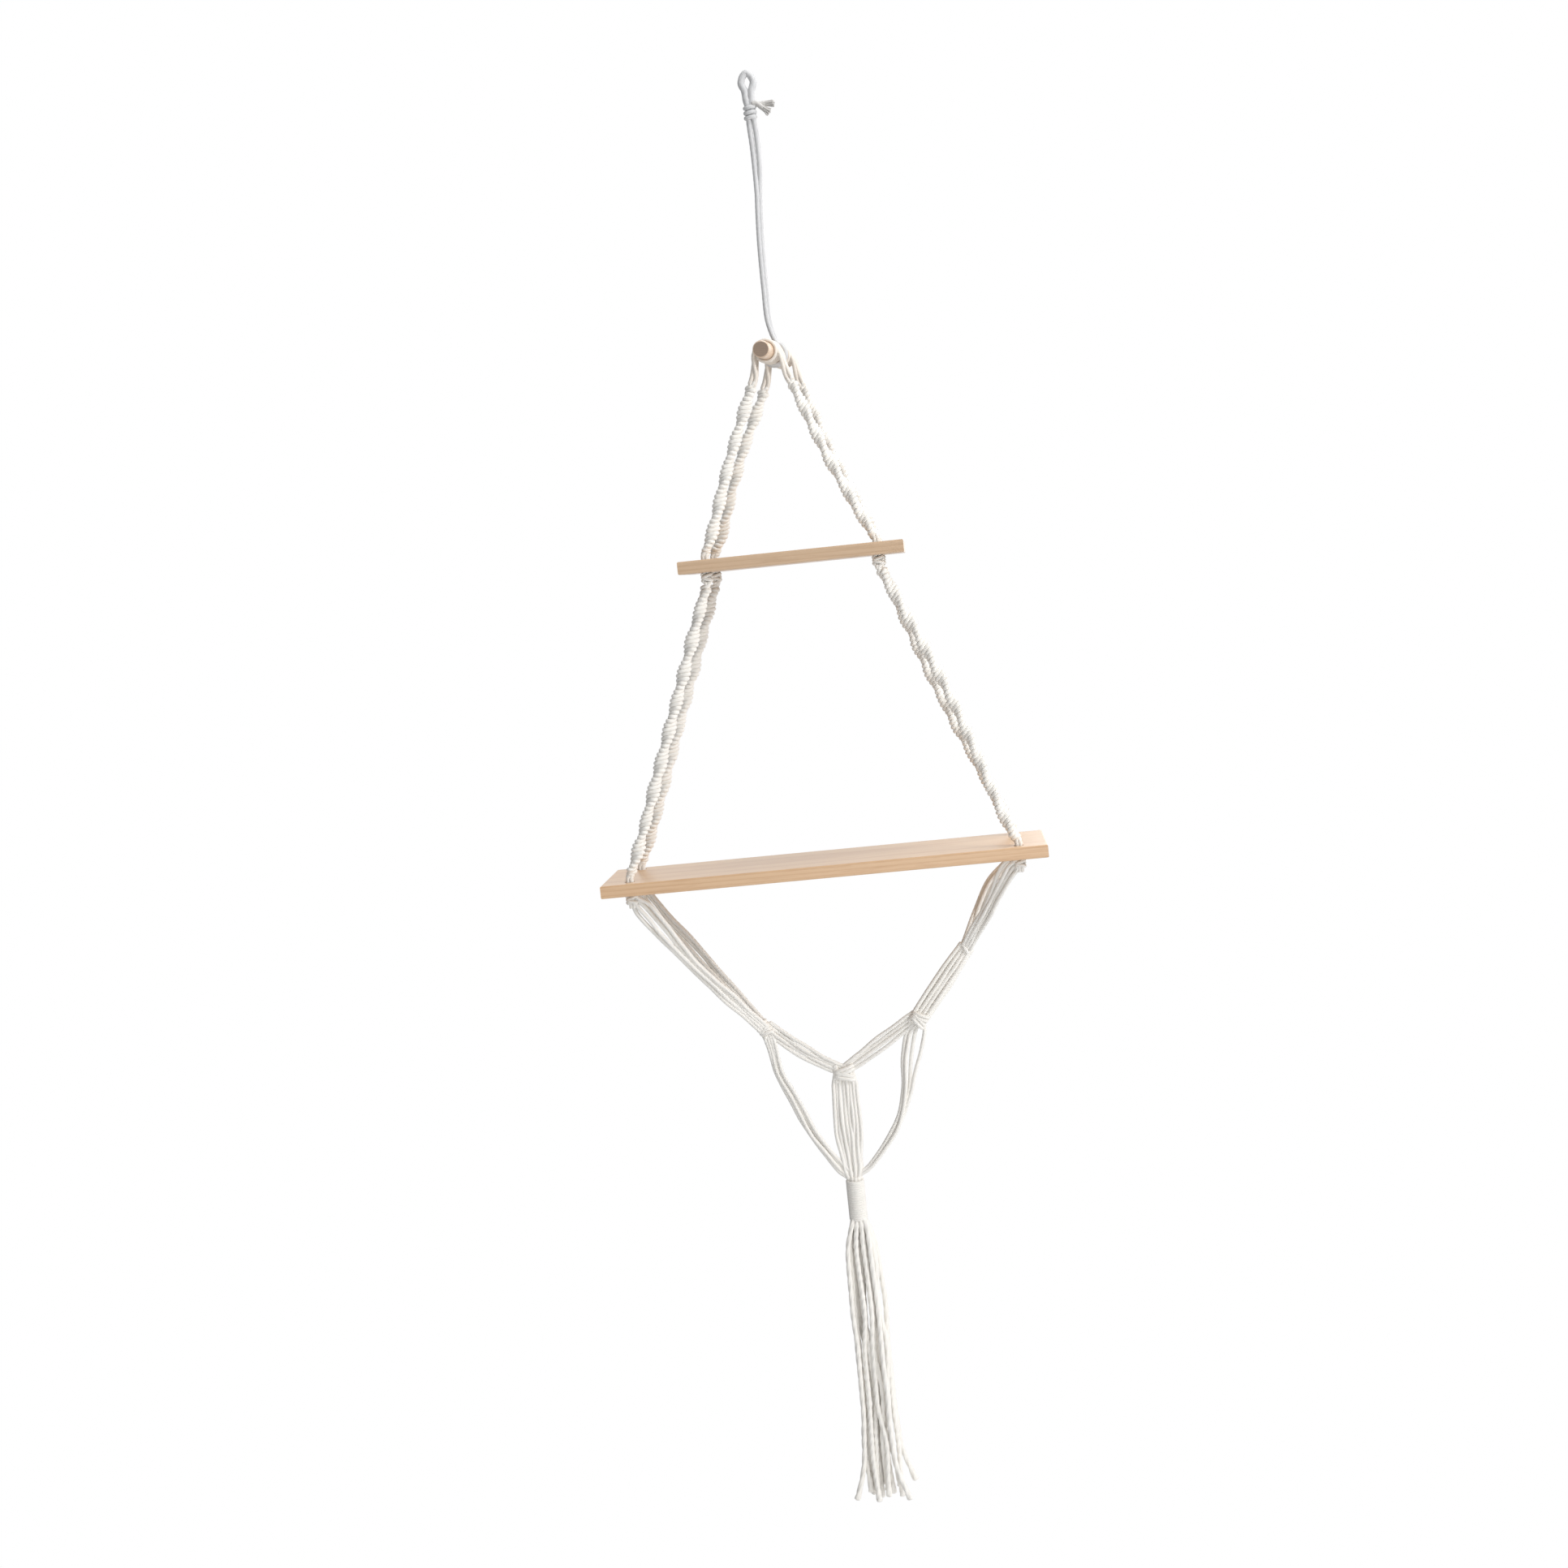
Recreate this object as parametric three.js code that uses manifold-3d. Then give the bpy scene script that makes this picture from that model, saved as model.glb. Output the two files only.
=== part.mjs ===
import * as THREE from 'three';
import { mergeVertices } from 'three/addons/utils/BufferGeometryUtils.js';
import Module from 'manifold-3d';

// A two-tier hanging shelf: two wooden boards on four knotted ropes, which hang from one dowel on
// a doubled cord with a loop. Millimetres, X to the right, Y to the back, Z up. The origin is the
// point where the hook bears on the inside of the loop.

const wasm = await Module();
wasm.setup();

// Cords
const cord = 3.5; // diameter of a strand where it hangs loose
const tight_cord = 3; // and where it is pulled tight, on the dowel
const hanger_cord = 4.4; // diameter of the hanging cord
const wrap_cord = 2.5; // diameter of the cord wound round the tassel's neck
const seat_gap = 0.3; // between two pieces that touch
const turn_gap = 0.45; // between neighbouring turns of one cord
const fuse_share = 0.82; // of a cord's diameter, the pitch at which strands are pressed into one
const middle_share = 0.45; // of the length of a strand or rope, where it bows most
const end_share = 0.15; // and where it has left the strands beside it
const end_bow_share = 0.5; // of its bow, how much it has there
const overrun = 5; // how far a cutting body reaches past what it cuts
const merge_reach = 1e-4; // corners nearer than this to each other are one corner

// Hanging loop and its knot
const loop_shares = [[0.78, 0.62], [1, 0.28], [0.72, 0.02]]; // of half its width and of its drop
const loop_width = 17.5;
const loop_drop = 20; // from the hook to the loop's throat
const throat_width = 5.4; // between the two legs of the loop, centre to centre
const throat_ball = 4.6; // radius of the knot's round top, about which the cord bends
const knot_width = 13;
const knot_depth = 11;
const knot_length = 24;
const cut_share = 0.26; // of the knot's length over its middle, where the cord's cut ends come out
const long_end = [16, -2]; // each cut end: how far it stands out, and its rise
const short_end = [11, -11];
const leg_spread = 9; // between the two legs under the knot, centre to centre
const leg_shares = [0.25, 0.45]; // of their drop still to go, and of their spread there
const cross_shares = [0.5, 0.85]; // of a cord's diameter: how the legs lie across and behind each other
const legs_meet = 110; // drop from the hook to where the legs cross

// Dowel
const dowel_drop = 257.5; // from the hook to the dowel's axis
const dowel_diameter = 16;
const dowel_length = 130;
const dowel_chamfer = 1;
const dowel_turn = THREE.MathUtils.degToRad(7.5); // about Z: it hangs a little askew of the boards
const hitch_from = THREE.MathUtils.degToRad(20); // the hanging cord goes clockwise round the dowel
const hitch_to = THREE.MathUtils.degToRad(322);
const turns_in = 19; // from the dowel's middle to the nearest turn of strands
const cords_each_end = 4; // cords wound on each end of the dowel
const strand_drop = 27; // from the dowel's axis to the first knot of a rope
const strand_hang = 8; // where a strand still hangs straight off the dowel
const strand_straight = 5; // where the strands run side by side into the rope
const rope_top_in = 3.5; // how far the first knot hangs inside the line from the dowel to the hole

const bundle_shares = [[0.5, -0.5], [-0.5, -0.5], [-0.5, 0.5], [0.5, 0.5]]; // four in a square
const bundle_pitch = 3.8; // between strands that run side by side into a rope

// Ropes: four strands knotted into a spiral
const rope_width = 12;
const rope_thickness = 8;
const rope_neck = 8; // diameter where a rope passes through a board
const rope_spiral = 58; // length in which a rope's section turns once
const rope_end_taper = 8;
const rope_bend = 24; // from a hole's mouth up to where the rope is straight
const rope_rings_per_turn = 5;
const neck_rise = 3; // how far over the board a rope is already straight and narrow
const rope_bows = { // how far the rope over and the rope under the upper board bow to the right
  front_left: [-2, 0],
  back_left: [-3.5, 0],
  front_right: [-2.5, 6],
  back_right: [-2.5, -4],
};

// Boards
const board_depth = 130;
const board_thickness = 12;
const board_edge = 1.2; // eased edge
const upper_board_length = 210;
const lower_board_length = 420;
const upper_drop = 443; // from the hook to the top of each board
const lower_drop = 737;
const upper_board_left = 1; // the upper board hangs this far to the left of the hook
const upper_hole_inset = 25; // from each end of a board to its holes
const lower_hole_inset = 26.5;
const side_hole_inset = 17; // and from its front and back edges
const upper_hole_out = upper_board_length / 2 - upper_hole_inset; // from the middle, along X
const lower_hole_out = lower_board_length / 2 - lower_hole_inset;
const hole_back = board_depth / 2 - side_hole_inset; // and along Y
const hole_diameter = 10;
const stop_knot_diameter = 13.5;
const stop_knot_height = 9;
const stop_knot_shares = [[0, 0], [0.62, 0], [0.95, 0.2], [0.9, 0.45], [1, 0.68], [0.66, 1], [0, 1]];

// Knots under the lower board: sideways from the middle, and down from the board's top
const left_knot_out = 75;
const left_knot_drop = 160;
const neck_knot_out = 126;
const neck_knot_drop = 98;
const right_knot_out = 74;
const right_knot_drop = 163;
const centre_knot_out = 3;
const centre_knot_drop = 207;
const side_knot_width = 15;
const side_knot_depth = 12;
const side_knot_length = 16.5;
const right_knot_width = 18;
const right_knot_depth = 15;
const neck_knot_width = 12;
const centre_knot_width = 24;
const knot_slant = THREE.MathUtils.degToRad(20); // of the wrap across a knot
const board_bows = { // how far the strands under the board bow sideways and up
  front_left: [0, -1],
  back_left: [0, 2],
  front_right: [-1, -1],
  back_right: [-4, 16],
};
const strand_fan = 6.4; // between the two pairs of strands where they come out under the board
const centre_pairs = 4;
const centre_top_pitch = 5; // between the pairs of strands under the centre knot, and where they end
const centre_low_pitch = 2.8;
const centre_spread = 2.2; // how much further apart they bow
const inner_sag = 3.5; // how far the inner swags sag, and the outer ones bow outwards
const outer_bows = { left: 8, right: 8 };
const inner_spread = 4.2; // how much further apart the two pairs of a swag are at its middle
const outer_spread = 6;

// Tassel
const wrap_out = 3; // the tassel hangs a little left of the middle
const wrap_drop = 314; // from the lower board's top to the top of the wrap
const wrap_turns = 13;
const neck_diameter = 12.4;
const gather_ball = 9; // radius of the bulge of strands over the wrap
const tail_pivot = 8; // from the wrap's lower edge down to where the tassel bends
const tail_length = 270;
const tail_strand = 4.4; // a strand's diameter, loosened
const tail_pitch = 2.4; // between a bundle's strands where they leave the wrap
const tail_spread = 14; // from the tassel's axis to its outer strands
const tail_shares = [[0.1, 0.8], [0.5, 0.95], [1, 1.1]]; // of the tail's length, and spread there
const tail_depth_share = 0.85; // of the spread, from front to back
const tail_skew_share = 1 / 6; // of the spread, how far each row is shifted past the one in front
const tail_uneven = 4; // between the ends of neighbouring strands

// Steps of the cords that are wound round something
const hitch_steps = 11;
const turn_steps = 18;
const wrap_steps_per_turn = 10;

const UP = new THREE.Vector3(0, 0, 1);
const at = (x, y, z) => new THREE.Vector3(x, y, z);
const mirrored = (place) => at(-place.x, -place.y, place.z);

// Outline of a round section as a polygon
function disc(diameter, sides) {
  const outline = [];
  for (let i = 0; i < sides; i += 1) {
    const turn = (i + 0.5) * 2 * Math.PI / sides;
    outline.push(new THREE.Vector2(Math.cos(turn), Math.sin(turn)).multiplyScalar(diameter / 2));
  }
  return new THREE.Shape(outline);
}

// Round tube along a smooth curve through the points
function tube(points, diameter, steps, sides = 8) {
  const path = new THREE.CatmullRomCurve3(points, false, 'centripetal');
  const section = disc(diameter, sides);
  return new THREE.ExtrudeGeometry(section, { steps, extrudePath: path, bevelEnabled: false });
}

// Manifold solid of a closed geometry
function solid(geometry) {
  const bare = geometry.clone();
  bare.deleteAttribute('normal');
  bare.deleteAttribute('uv');
  const merged = mergeVertices(bare, merge_reach);
  return new wasm.Manifold(new wasm.Mesh({
    numProp: 3,
    vertProperties: merged.attributes.position.array,
    triVerts: new Uint32Array(merged.index.array),
  }));
}

// Geometry of a manifold solid
function geometryOf(body) {
  const mesh = body.getMesh();
  const geometry = new THREE.BufferGeometry();
  geometry.setAttribute('position', new THREE.BufferAttribute(mesh.vertProperties, 3));
  geometry.setIndex(new THREE.BufferAttribute(mesh.triVerts, 1));
  return geometry;
}

function joined(bodies) {
  return bodies.reduce((sum, body) => sum.add(body));
}

// What is left of a body outside the others: its largest piece
function outside(body, others) {
  const rest = others.reduce((left, other) => left.subtract(other), body);
  return rest.decompose().reduce((most, piece) => (piece.volume() > most.volume() ? piece : most));
}

// Block of space from one corner to the opposite one
function block(low, high) {
  const size = high.clone().sub(low);
  const box = new THREE.BoxGeometry(size.x, size.y, size.z);
  return solid(box).translate(low.clone().add(high).divideScalar(2).toArray());
}

// Closed skin over a row of rings that all have the same number of points
function loft(rings) {
  const sides = rings[0].length;
  const points = rings.flat();
  const faces = [];
  for (let i = 0; i + 1 < rings.length; i += 1) {
    for (let j = 0; j < sides; j += 1) {
      const a = i * sides + j;
      const b = i * sides + (j + 1) % sides;
      faces.push(a, b, a + sides, b, b + sides, a + sides);
    }
  }
  const last = (rings.length - 1) * sides;
  for (let j = 1; j + 1 < sides; j += 1) {
    faces.push(0, j + 1, j);
    faces.push(last, last + j, last + j + 1);
  }
  const geometry = new THREE.BufferGeometry().setFromPoints(points);
  geometry.setIndex(faces);
  return geometry;
}

// Round tube with a ring at each station; across says which way a ring's first side faces there,
// and where it says nothing the ring keeps the way of the one before
function sweep(stations, diameter, sides, across) {
  const last = stations.length - 1;
  let facing = across[0];
  const rings = stations.map((station, i) => {
    const along = stations[Math.min(last, i + 1)].clone().sub(stations[Math.max(0, i - 1)]);
    along.normalize();
    facing = (across[i] ?? facing).clone();
    facing.addScaledVector(along, -facing.dot(along)).normalize();
    const aside = new THREE.Vector3().crossVectors(along, facing);
    const section = disc(diameter, sides).getPoints();
    return section.map(({ x, y }) => station.clone()
      .addScaledVector(facing, x)
      .addScaledVector(aside, y));
  });
  return loft(rings);
}

// Directions of a rope's section: across it to the right, and square to that
function sectionFrame(along) {
  const across = at(1, 0, 0).addScaledVector(along, -along.x).normalize();
  return { across, aside: new THREE.Vector3().crossVectors(along, across) };
}

// Spiral rope along a curve: an oval section that turns as it goes, and a round neck at the end
function rope(points, start_diameter) {
  const path = new THREE.CatmullRomCurve3(points, false, 'centripetal');
  const length = path.getLength();
  const neck_top = length - board_thickness - neck_rise;
  const spiral_length = neck_top - 2 * rope_end_taper;
  const count = Math.round(spiral_length / rope_spiral * rope_rings_per_turn);
  const stations = [[0, start_diameter, start_diameter]];
  for (let i = 0; i <= count; i += 1) {
    stations.push([rope_end_taper + spiral_length * i / count, rope_width, rope_thickness]);
  }
  stations.push([neck_top, rope_neck, rope_neck], [length, rope_neck, rope_neck]);
  const sides = 8;
  return loft(stations.map(([reach, width, thickness]) => {
    const centre = path.getPointAt(reach / length);
    const { across, aside } = sectionFrame(path.getTangentAt(reach / length));
    const spiral = 2 * Math.PI * reach / rope_spiral;
    const ring = [];
    for (let j = 0; j < sides; j += 1) {
      const turn = 2 * Math.PI * j / sides;
      const u = width / 2 * Math.cos(turn);
      const v = thickness / 2 * Math.sin(turn);
      ring.push(centre.clone()
        .addScaledVector(across, u * Math.cos(spiral) - v * Math.sin(spiral))
        .addScaledVector(aside, u * Math.sin(spiral) + v * Math.cos(spiral)));
    }
    return ring;
  }));
}

// Lump of a tightened knot: a core with a wrap across it, `grow` larger all round
function knotLump(width, depth, length, grow) {
  const core = new THREE.SphereGeometry(1, 8, 6);
  core.rotateX(Math.PI / 2);
  core.scale(width / 2 - cord / 4 + grow, depth / 2 - cord / 4 + grow, length / 2 + grow);
  const wrap = new THREE.TorusGeometry(1, (cord / 2 + grow) / (width / 2), 5, 10);
  wrap.scale(width / 2 - cord / 2, depth / 2 - cord / 2, width / 2);
  wrap.rotateX(Math.PI / 2);
  wrap.rotateY(knot_slant);
  return solid(core).add(solid(wrap));
}

// The same lump turned so that its length lies along a direction, at a place
function placedLump(width, depth, length, grow, along, centre) {
  const turn = new THREE.Quaternion().setFromUnitVectors(UP, along.clone().normalize());
  const matrix = new THREE.Matrix4().compose(centre, turn, at(1, 1, 1));
  return knotLump(width, depth, length, grow).transform(matrix.elements);
}

function ball(radius, centre) {
  return solid(new THREE.SphereGeometry(radius, 12, 8)).translate(centre.toArray());
}

// Places that several pieces share
const dowel_centre = at(0, 0, -dowel_drop);
const dowel_along = at(Math.sin(dowel_turn), Math.cos(dowel_turn), 0);
const dowel_across = at(Math.cos(dowel_turn), -Math.sin(dowel_turn), 0);
const throat = at(0, 0, -loop_drop);
const knot_centre = at(0, 0, -loop_drop - knot_length / 2);
const knot_bend = at(0, 0, -loop_drop - knot_length + throat_ball);
const left_knot = at(-left_knot_out, 0, -lower_drop - left_knot_drop);
const neck_knot = at(neck_knot_out, 0, -lower_drop - neck_knot_drop);
const right_knot = at(right_knot_out, 0, -lower_drop - right_knot_drop);
const centre_knot = at(-centre_knot_out, 0, -lower_drop - centre_knot_drop);
const wrap_top = at(-wrap_out, 0, -lower_drop - wrap_drop);
const wrap_pitch = wrap_cord + turn_gap;
const wrap_length = wrap_turns * wrap_pitch + wrap_cord;
const wrap_bottom = at(-wrap_out, 0, wrap_top.z - wrap_length);
const tail_bend = at(-wrap_out, 0, wrap_bottom.z - tail_pivot);
const tail_end = tail_bend.z - tail_length;

// A board's holes: side -1 left or 1 right, end -1 front or 1 back
function upperHole(side, end) {
  return at(side * upper_hole_out - upper_board_left, end * hole_back, -upper_drop);
}

function lowerHole(side, end) {
  return at(side * lower_hole_out, end * hole_back, -lower_drop);
}

// Point on the dowel, from its middle along its axis, and at an angle clockwise from the top
function onDowel(along, radius, angle) {
  return dowel_centre.clone()
    .addScaledVector(dowel_along, along)
    .addScaledVector(dowel_across, radius * Math.sin(angle))
    .addScaledVector(UP, radius * Math.cos(angle));
}

const turn_radius = dowel_diameter / 2 + seat_gap + tight_cord / 2;
const turn_pitch = tight_cord + turn_gap;
const hitch_radius = dowel_diameter / 2 + seat_gap + hanger_cord / 2;
const hitch_pitch = hanger_cord + turn_gap;
const lean = Math.atan2(upper_hole_out - turn_radius, upper_drop - dowel_drop);
const first_angle = 3 * Math.PI / 2 + lean; // where the left strand leaves the dowel
const last_angle = 9 * Math.PI / 2 - lean; // and the right one, after one and a half turns
const turns_width = turn_pitch * (last_angle - first_angle) / (2 * Math.PI);
const cord_pitch = 2 * turn_pitch;
const group_width = (cords_each_end - 1) * cord_pitch + turns_width;

// Where the left strand of a wound cord leaves the dowel: end -1 front or 1 back
function turnStart(end, index) {
  const inner = end < 0 ? -turns_in - group_width : turns_in;
  return inner + index * cord_pitch;
}

// Where a rope's knots begin, on the straight line from the dowel to the board's hole
function ropeTop(side, end) {
  const shift = side < 0 ? 0 : turns_width;
  const middle = turnStart(end, (cords_each_end - 1) / 2) + shift;
  const leave = onDowel(middle, turn_radius, side < 0 ? first_angle : last_angle);
  const hole = upperHole(side, end);
  const share = (strand_drop + leave.z + dowel_drop) / (leave.z - hole.z);
  const place = leave.clone().lerp(hole, share).add(at(-side * rope_top_in, 0, 0));
  return { place, along: hole.clone().sub(place).normalize() };
}

const fused_pitch = cord * fuse_share;
const fused_half = (fused_pitch + cord) / 2; // half the width of two strands pressed together

// Hanging loop, open at its throat where it goes into the knot
function hangingLoop() {
  const half = (loop_width - hanger_cord) / 2;
  const right = loop_shares.map(([out, down]) => at(out * half, 0, -down * loop_drop));
  right.unshift(at(throat_width / 2, 0, -loop_drop));
  const left = right.map((point) => at(-point.x, 0, point.z)).reverse();
  const route = [...right, at(0, 0, hanger_cord / 2), ...left];
  const steps = 20;
  const whole = solid(tube(route, hanger_cord, steps));
  return geometryOf(whole.subtract(ball(throat_ball + seat_gap, throat)));
}

// Knot of the doubled hanging cord, with its round top, its lower wrap and the two cut ends
function hangerKnot() {
  const lump = knotLump(knot_width, knot_depth, knot_length - throat_ball, 0)
    .translate(knot_centre.toArray());
  const wrap = new THREE.CylinderGeometry(throat_ball, throat_ball, knot_width, 10);
  wrap.rotateZ(Math.PI / 2);
  wrap.translate(0, 0, knot_bend.z);
  const root = at(0, 0, knot_centre.z + knot_length * cut_share);
  const cut_ends = [[long_end, 1], [short_end, -1]].map(([[out, rise], end]) => {
    const back = end * hanger_cord;
    const mouth = at(knot_width / 2, back / 2, root.z);
    return solid(tube([root, mouth, mouth.clone().add(at(out, 0, rise))], hanger_cord, 3));
  });
  return geometryOf(joined([lump, ball(throat_ball, throat), solid(wrap), ...cut_ends]));
}

// Two legs of the hanging cord from the knot to where they cross
function upperLegs() {
  const bottom = -legs_meet + seat_gap / 2;
  const [drop_share, spread_share] = leg_shares;
  const [across_share, behind_share] = cross_shares;
  const legs = [-1, 1].map((side) => {
    const out = side * leg_spread / 2;
    const half = side * hanger_cord * fuse_share / 2;
    const near = THREE.MathUtils.lerp(bottom, knot_bend.z, drop_share);
    const route = [
      at(out, 0, knot_bend.z),
      at(out, 0, knot_bend.z - knot_width),
      at(out * spread_share, half / 2, near),
      at(half * across_share, half * behind_share, bottom + hanger_cord),
      at(half * across_share, half * behind_share, bottom),
    ];
    return solid(tube(route, hanger_cord, 7));
  });
  const bend = new THREE.CylinderGeometry(
    throat_ball + seat_gap, throat_ball + seat_gap, knot_width + 2 * overrun, 12);
  bend.rotateZ(Math.PI / 2);
  bend.translate(0, 0, knot_bend.z);
  return geometryOf(joined(legs).subtract(solid(bend)));
}

// The rest of the hanging cord: down one leg, twice round the dowel as a hitch, up the other leg
function lowerLegs() {
  const apart = hitch_pitch / 2;
  const [across_share, behind_share] = cross_shares;
  const top = at(apart * across_share, apart * behind_share, -legs_meet - seat_gap / 2);
  const below = top.clone().add(at(0, 0, -hanger_cord));
  const front = [mirrored(top), mirrored(below)];
  front.push(onDowel(-apart, hitch_radius + 2 * hanger_cord, 0));
  for (let i = 0; i <= hitch_steps; i += 1) {
    const angle = THREE.MathUtils.lerp(hitch_from, hitch_to, i / hitch_steps);
    front.push(onDowel(-apart, hitch_radius, angle));
  }
  const back = front.map((point) => {
    const along = point.clone().sub(dowel_centre).dot(dowel_along);
    return point.clone().addScaledVector(dowel_along, -2 * along);
  });
  back.splice(0, 2, top, below);
  return sweep([...front, ...back.reverse()], hanger_cord, 8, [dowel_across]);
}

function dowelRod() {
  const radius = dowel_diameter / 2;
  const half = dowel_length / 2;
  const profile = [
    new THREE.Vector2(0, -half),
    new THREE.Vector2(radius - dowel_chamfer, -half),
    new THREE.Vector2(radius, -half + dowel_chamfer),
    new THREE.Vector2(radius, half - dowel_chamfer),
    new THREE.Vector2(radius - dowel_chamfer, half),
    new THREE.Vector2(0, half),
  ];
  return new THREE.LatheGeometry(profile, 32);
}

// One cord: up from its left rope, one and a half turns round the dowel, down to its right rope
function woundCord(end, index) {
  const start = turnStart(end, index);
  const [across_share, along_share] = bundle_shares[index];
  const strandEnd = (side) => {
    const top = ropeTop(side, end);
    const { across, aside } = sectionFrame(top.along);
    const foot = top.place.clone()
      .addScaledVector(across, -side * across_share * bundle_pitch)
      .addScaledVector(aside, -along_share * bundle_pitch)
      .addScaledVector(top.along, -seat_gap);
    const above = foot.clone().addScaledVector(top.along, -strand_straight);
    return [foot, above];
  };
  const hang = (place, side) => place.clone()
    .addScaledVector(dowel_across, side * strand_hang * Math.sin(lean))
    .addScaledVector(UP, -strand_hang * Math.cos(lean));
  const route = strandEnd(-1);
  route.push(hang(onDowel(start, turn_radius, first_angle), -1));
  for (let i = 0; i <= turn_steps; i += 1) {
    const share = i / turn_steps;
    const angle = THREE.MathUtils.lerp(first_angle, last_angle, share);
    route.push(onDowel(start + turns_width * share, turn_radius, angle));
  }
  route.push(hang(onDowel(start + turns_width, turn_radius, last_angle), 1));
  route.push(...strandEnd(1).reverse());
  return sweep(route, tight_cord, 8, route.map(() => dowel_along));
}

// Board with eased edges and a hole for each rope
function board(length, hole_out) {
  const half_x = length / 2 - board_edge;
  const half_y = board_depth / 2 - board_edge;
  const outline = new THREE.Shape();
  outline.moveTo(-half_x, -half_y);
  outline.lineTo(half_x, -half_y);
  outline.lineTo(half_x, half_y);
  outline.lineTo(-half_x, half_y);
  outline.closePath();
  const slab = new THREE.ExtrudeGeometry(outline, {
    depth: board_thickness - 2 * board_edge,
    bevelEnabled: true,
    bevelThickness: board_edge,
    bevelSize: board_edge,
    bevelSegments: 2,
  });
  slab.translate(0, 0, board_edge - board_thickness);
  let body = solid(slab);
  for (const side of [-1, 1]) {
    for (const end of [-1, 1]) {
      const drill = new THREE.CylinderGeometry(
        hole_diameter / 2, hole_diameter / 2, board_thickness + 2 * overrun, 20);
      drill.rotateX(Math.PI / 2);
      drill.translate(side * hole_out, end * hole_back, -board_thickness / 2);
      body = body.subtract(solid(drill));
    }
  }
  return geometryOf(body);
}

// Knot that a board rests on
function stopKnot() {
  const radius = stop_knot_diameter / 2;
  const profile = stop_knot_shares.map(([out, down]) => (
    new THREE.Vector2(out * radius, -down * stop_knot_height)));
  const body = new THREE.LatheGeometry(profile.reverse(), 8);
  body.rotateX(Math.PI / 2);
  return body;
}

function knotTop(drop) {
  return -drop - board_thickness - seat_gap;
}

function upperRope(side, end, bow) {
  const top = ropeTop(side, end);
  const hole = upperHole(side, end);
  const bottom = hole.z - board_thickness;
  const points = [
    top.place,
    top.place.clone().addScaledVector(top.along, rope_end_taper),
    top.place.clone().lerp(hole, middle_share).add(at(bow, 0, 0)),
    hole.clone().addScaledVector(top.along, -rope_bend),
    at(hole.x, hole.y, hole.z + neck_rise),
    hole,
    at(hole.x, hole.y, bottom),
  ];
  return rope(points, bundle_pitch + tight_cord);
}

function lowerRope(side, end, bow) {
  const start = upperHole(side, end);
  const hole = lowerHole(side, end);
  start.z = knotTop(upper_drop) - stop_knot_height - seat_gap;
  const along = hole.clone().sub(start).normalize();
  const points = [
    start,
    start.clone().add(at(0, 0, -rope_end_taper / 4)),
    start.clone().addScaledVector(along, rope_end_taper),
    start.clone().lerp(hole, middle_share).add(at(bow, 0, 0)),
    hole.clone().addScaledVector(along, -rope_bend),
    at(hole.x, hole.y, hole.z + neck_rise),
    hole,
    at(hole.x, hole.y, hole.z - board_thickness),
  ];
  return rope(points, rope_neck);
}

// Outline of strands pressed together, given the places of their centres
function pressedOutline(centres, points) {
  const outline = [];
  for (let i = 0; i < points; i += 1) {
    const turn = (i + 0.5) * 2 * Math.PI / points;
    const ray = new THREE.Vector2(Math.cos(turn), Math.sin(turn));
    let reach = 0;
    for (const centre of centres) {
      const near = centre.dot(ray);
      const rest = near ** 2 - centre.lengthSq() + (cord / 2) ** 2;
      reach = Math.max(reach, rest < 0 ? 0 : near + Math.sqrt(rest));
    }
    outline.push(ray.multiplyScalar(reach));
  }
  return new THREE.Shape(outline);
}

// Strands pressed into one body along a curve: so many behind one another and so many abreast,
// with an outline of so many points
function pressed(route, behind, abreast, pitch, points, steps) {
  const centres = [];
  for (let i = 0; i < behind; i += 1) {
    for (let j = 0; j < abreast; j += 1) {
      const place = new THREE.Vector2(i - (behind - 1) / 2, j - (abreast - 1) / 2);
      centres.push(place.multiplyScalar(pitch));
    }
  }
  const path = new THREE.CatmullRomCurve3(route, false, 'centripetal');
  const outline = pressedOutline(centres, points);
  return solid(new THREE.ExtrudeGeometry(outline, { steps, extrudePath: path, bevelEnabled: false }));
}

// Four strands from a stop knot under the lower board to a knot further in
function boardStrands(side, end, target, [bow_out, bow_up]) {
  const hole = lowerHole(side, end);
  const top = knotTop(lower_drop) - stop_knot_height - seat_gap;
  const routes = [-0.5, 0.5].map((rank) => {
    const first = at(hole.x + rank * strand_fan, hole.y, top);
    const out = first.clone().add(at(0, 0, -cord));
    const middle = out.clone().lerp(target, middle_share).add(at(bow_out, 0, bow_up));
    return [first, out, middle, target];
  });
  return joined(routes.map((route) => pressed(route, 1, 2, fused_pitch, 10, 5)));
}

// Pairs of strands from one knot to another, pressed together at each end at the given pitches,
// with the given bow and apart by the given spread in between
function swag(from, to, pairs, pitches, bow, spread) {
  const along = to.clone().sub(from).normalize();
  const aside = new THREE.Vector3().crossVectors(along, at(0, 1, 0));
  const routes = [];
  for (let i = 0; i < pairs; i += 1) {
    const rank = i - (pairs - 1) / 2;
    const start = from.clone().addScaledVector(aside, rank * pitches[0]);
    const finish = to.clone().addScaledVector(aside, rank * pitches[1]);
    const full = bow.clone().addScaledVector(aside, rank * spread);
    const part = full.clone().multiplyScalar(end_bow_share);
    routes.push([
      start,
      start.clone().lerp(finish, end_share).add(part),
      start.clone().lerp(finish, middle_share).add(full),
      finish.clone().lerp(start, end_share).add(part),
      finish,
    ]);
  }
  return joined(routes.map((route) => pressed(route, 1, 2, fused_pitch, 10, 6)));
}

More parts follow.
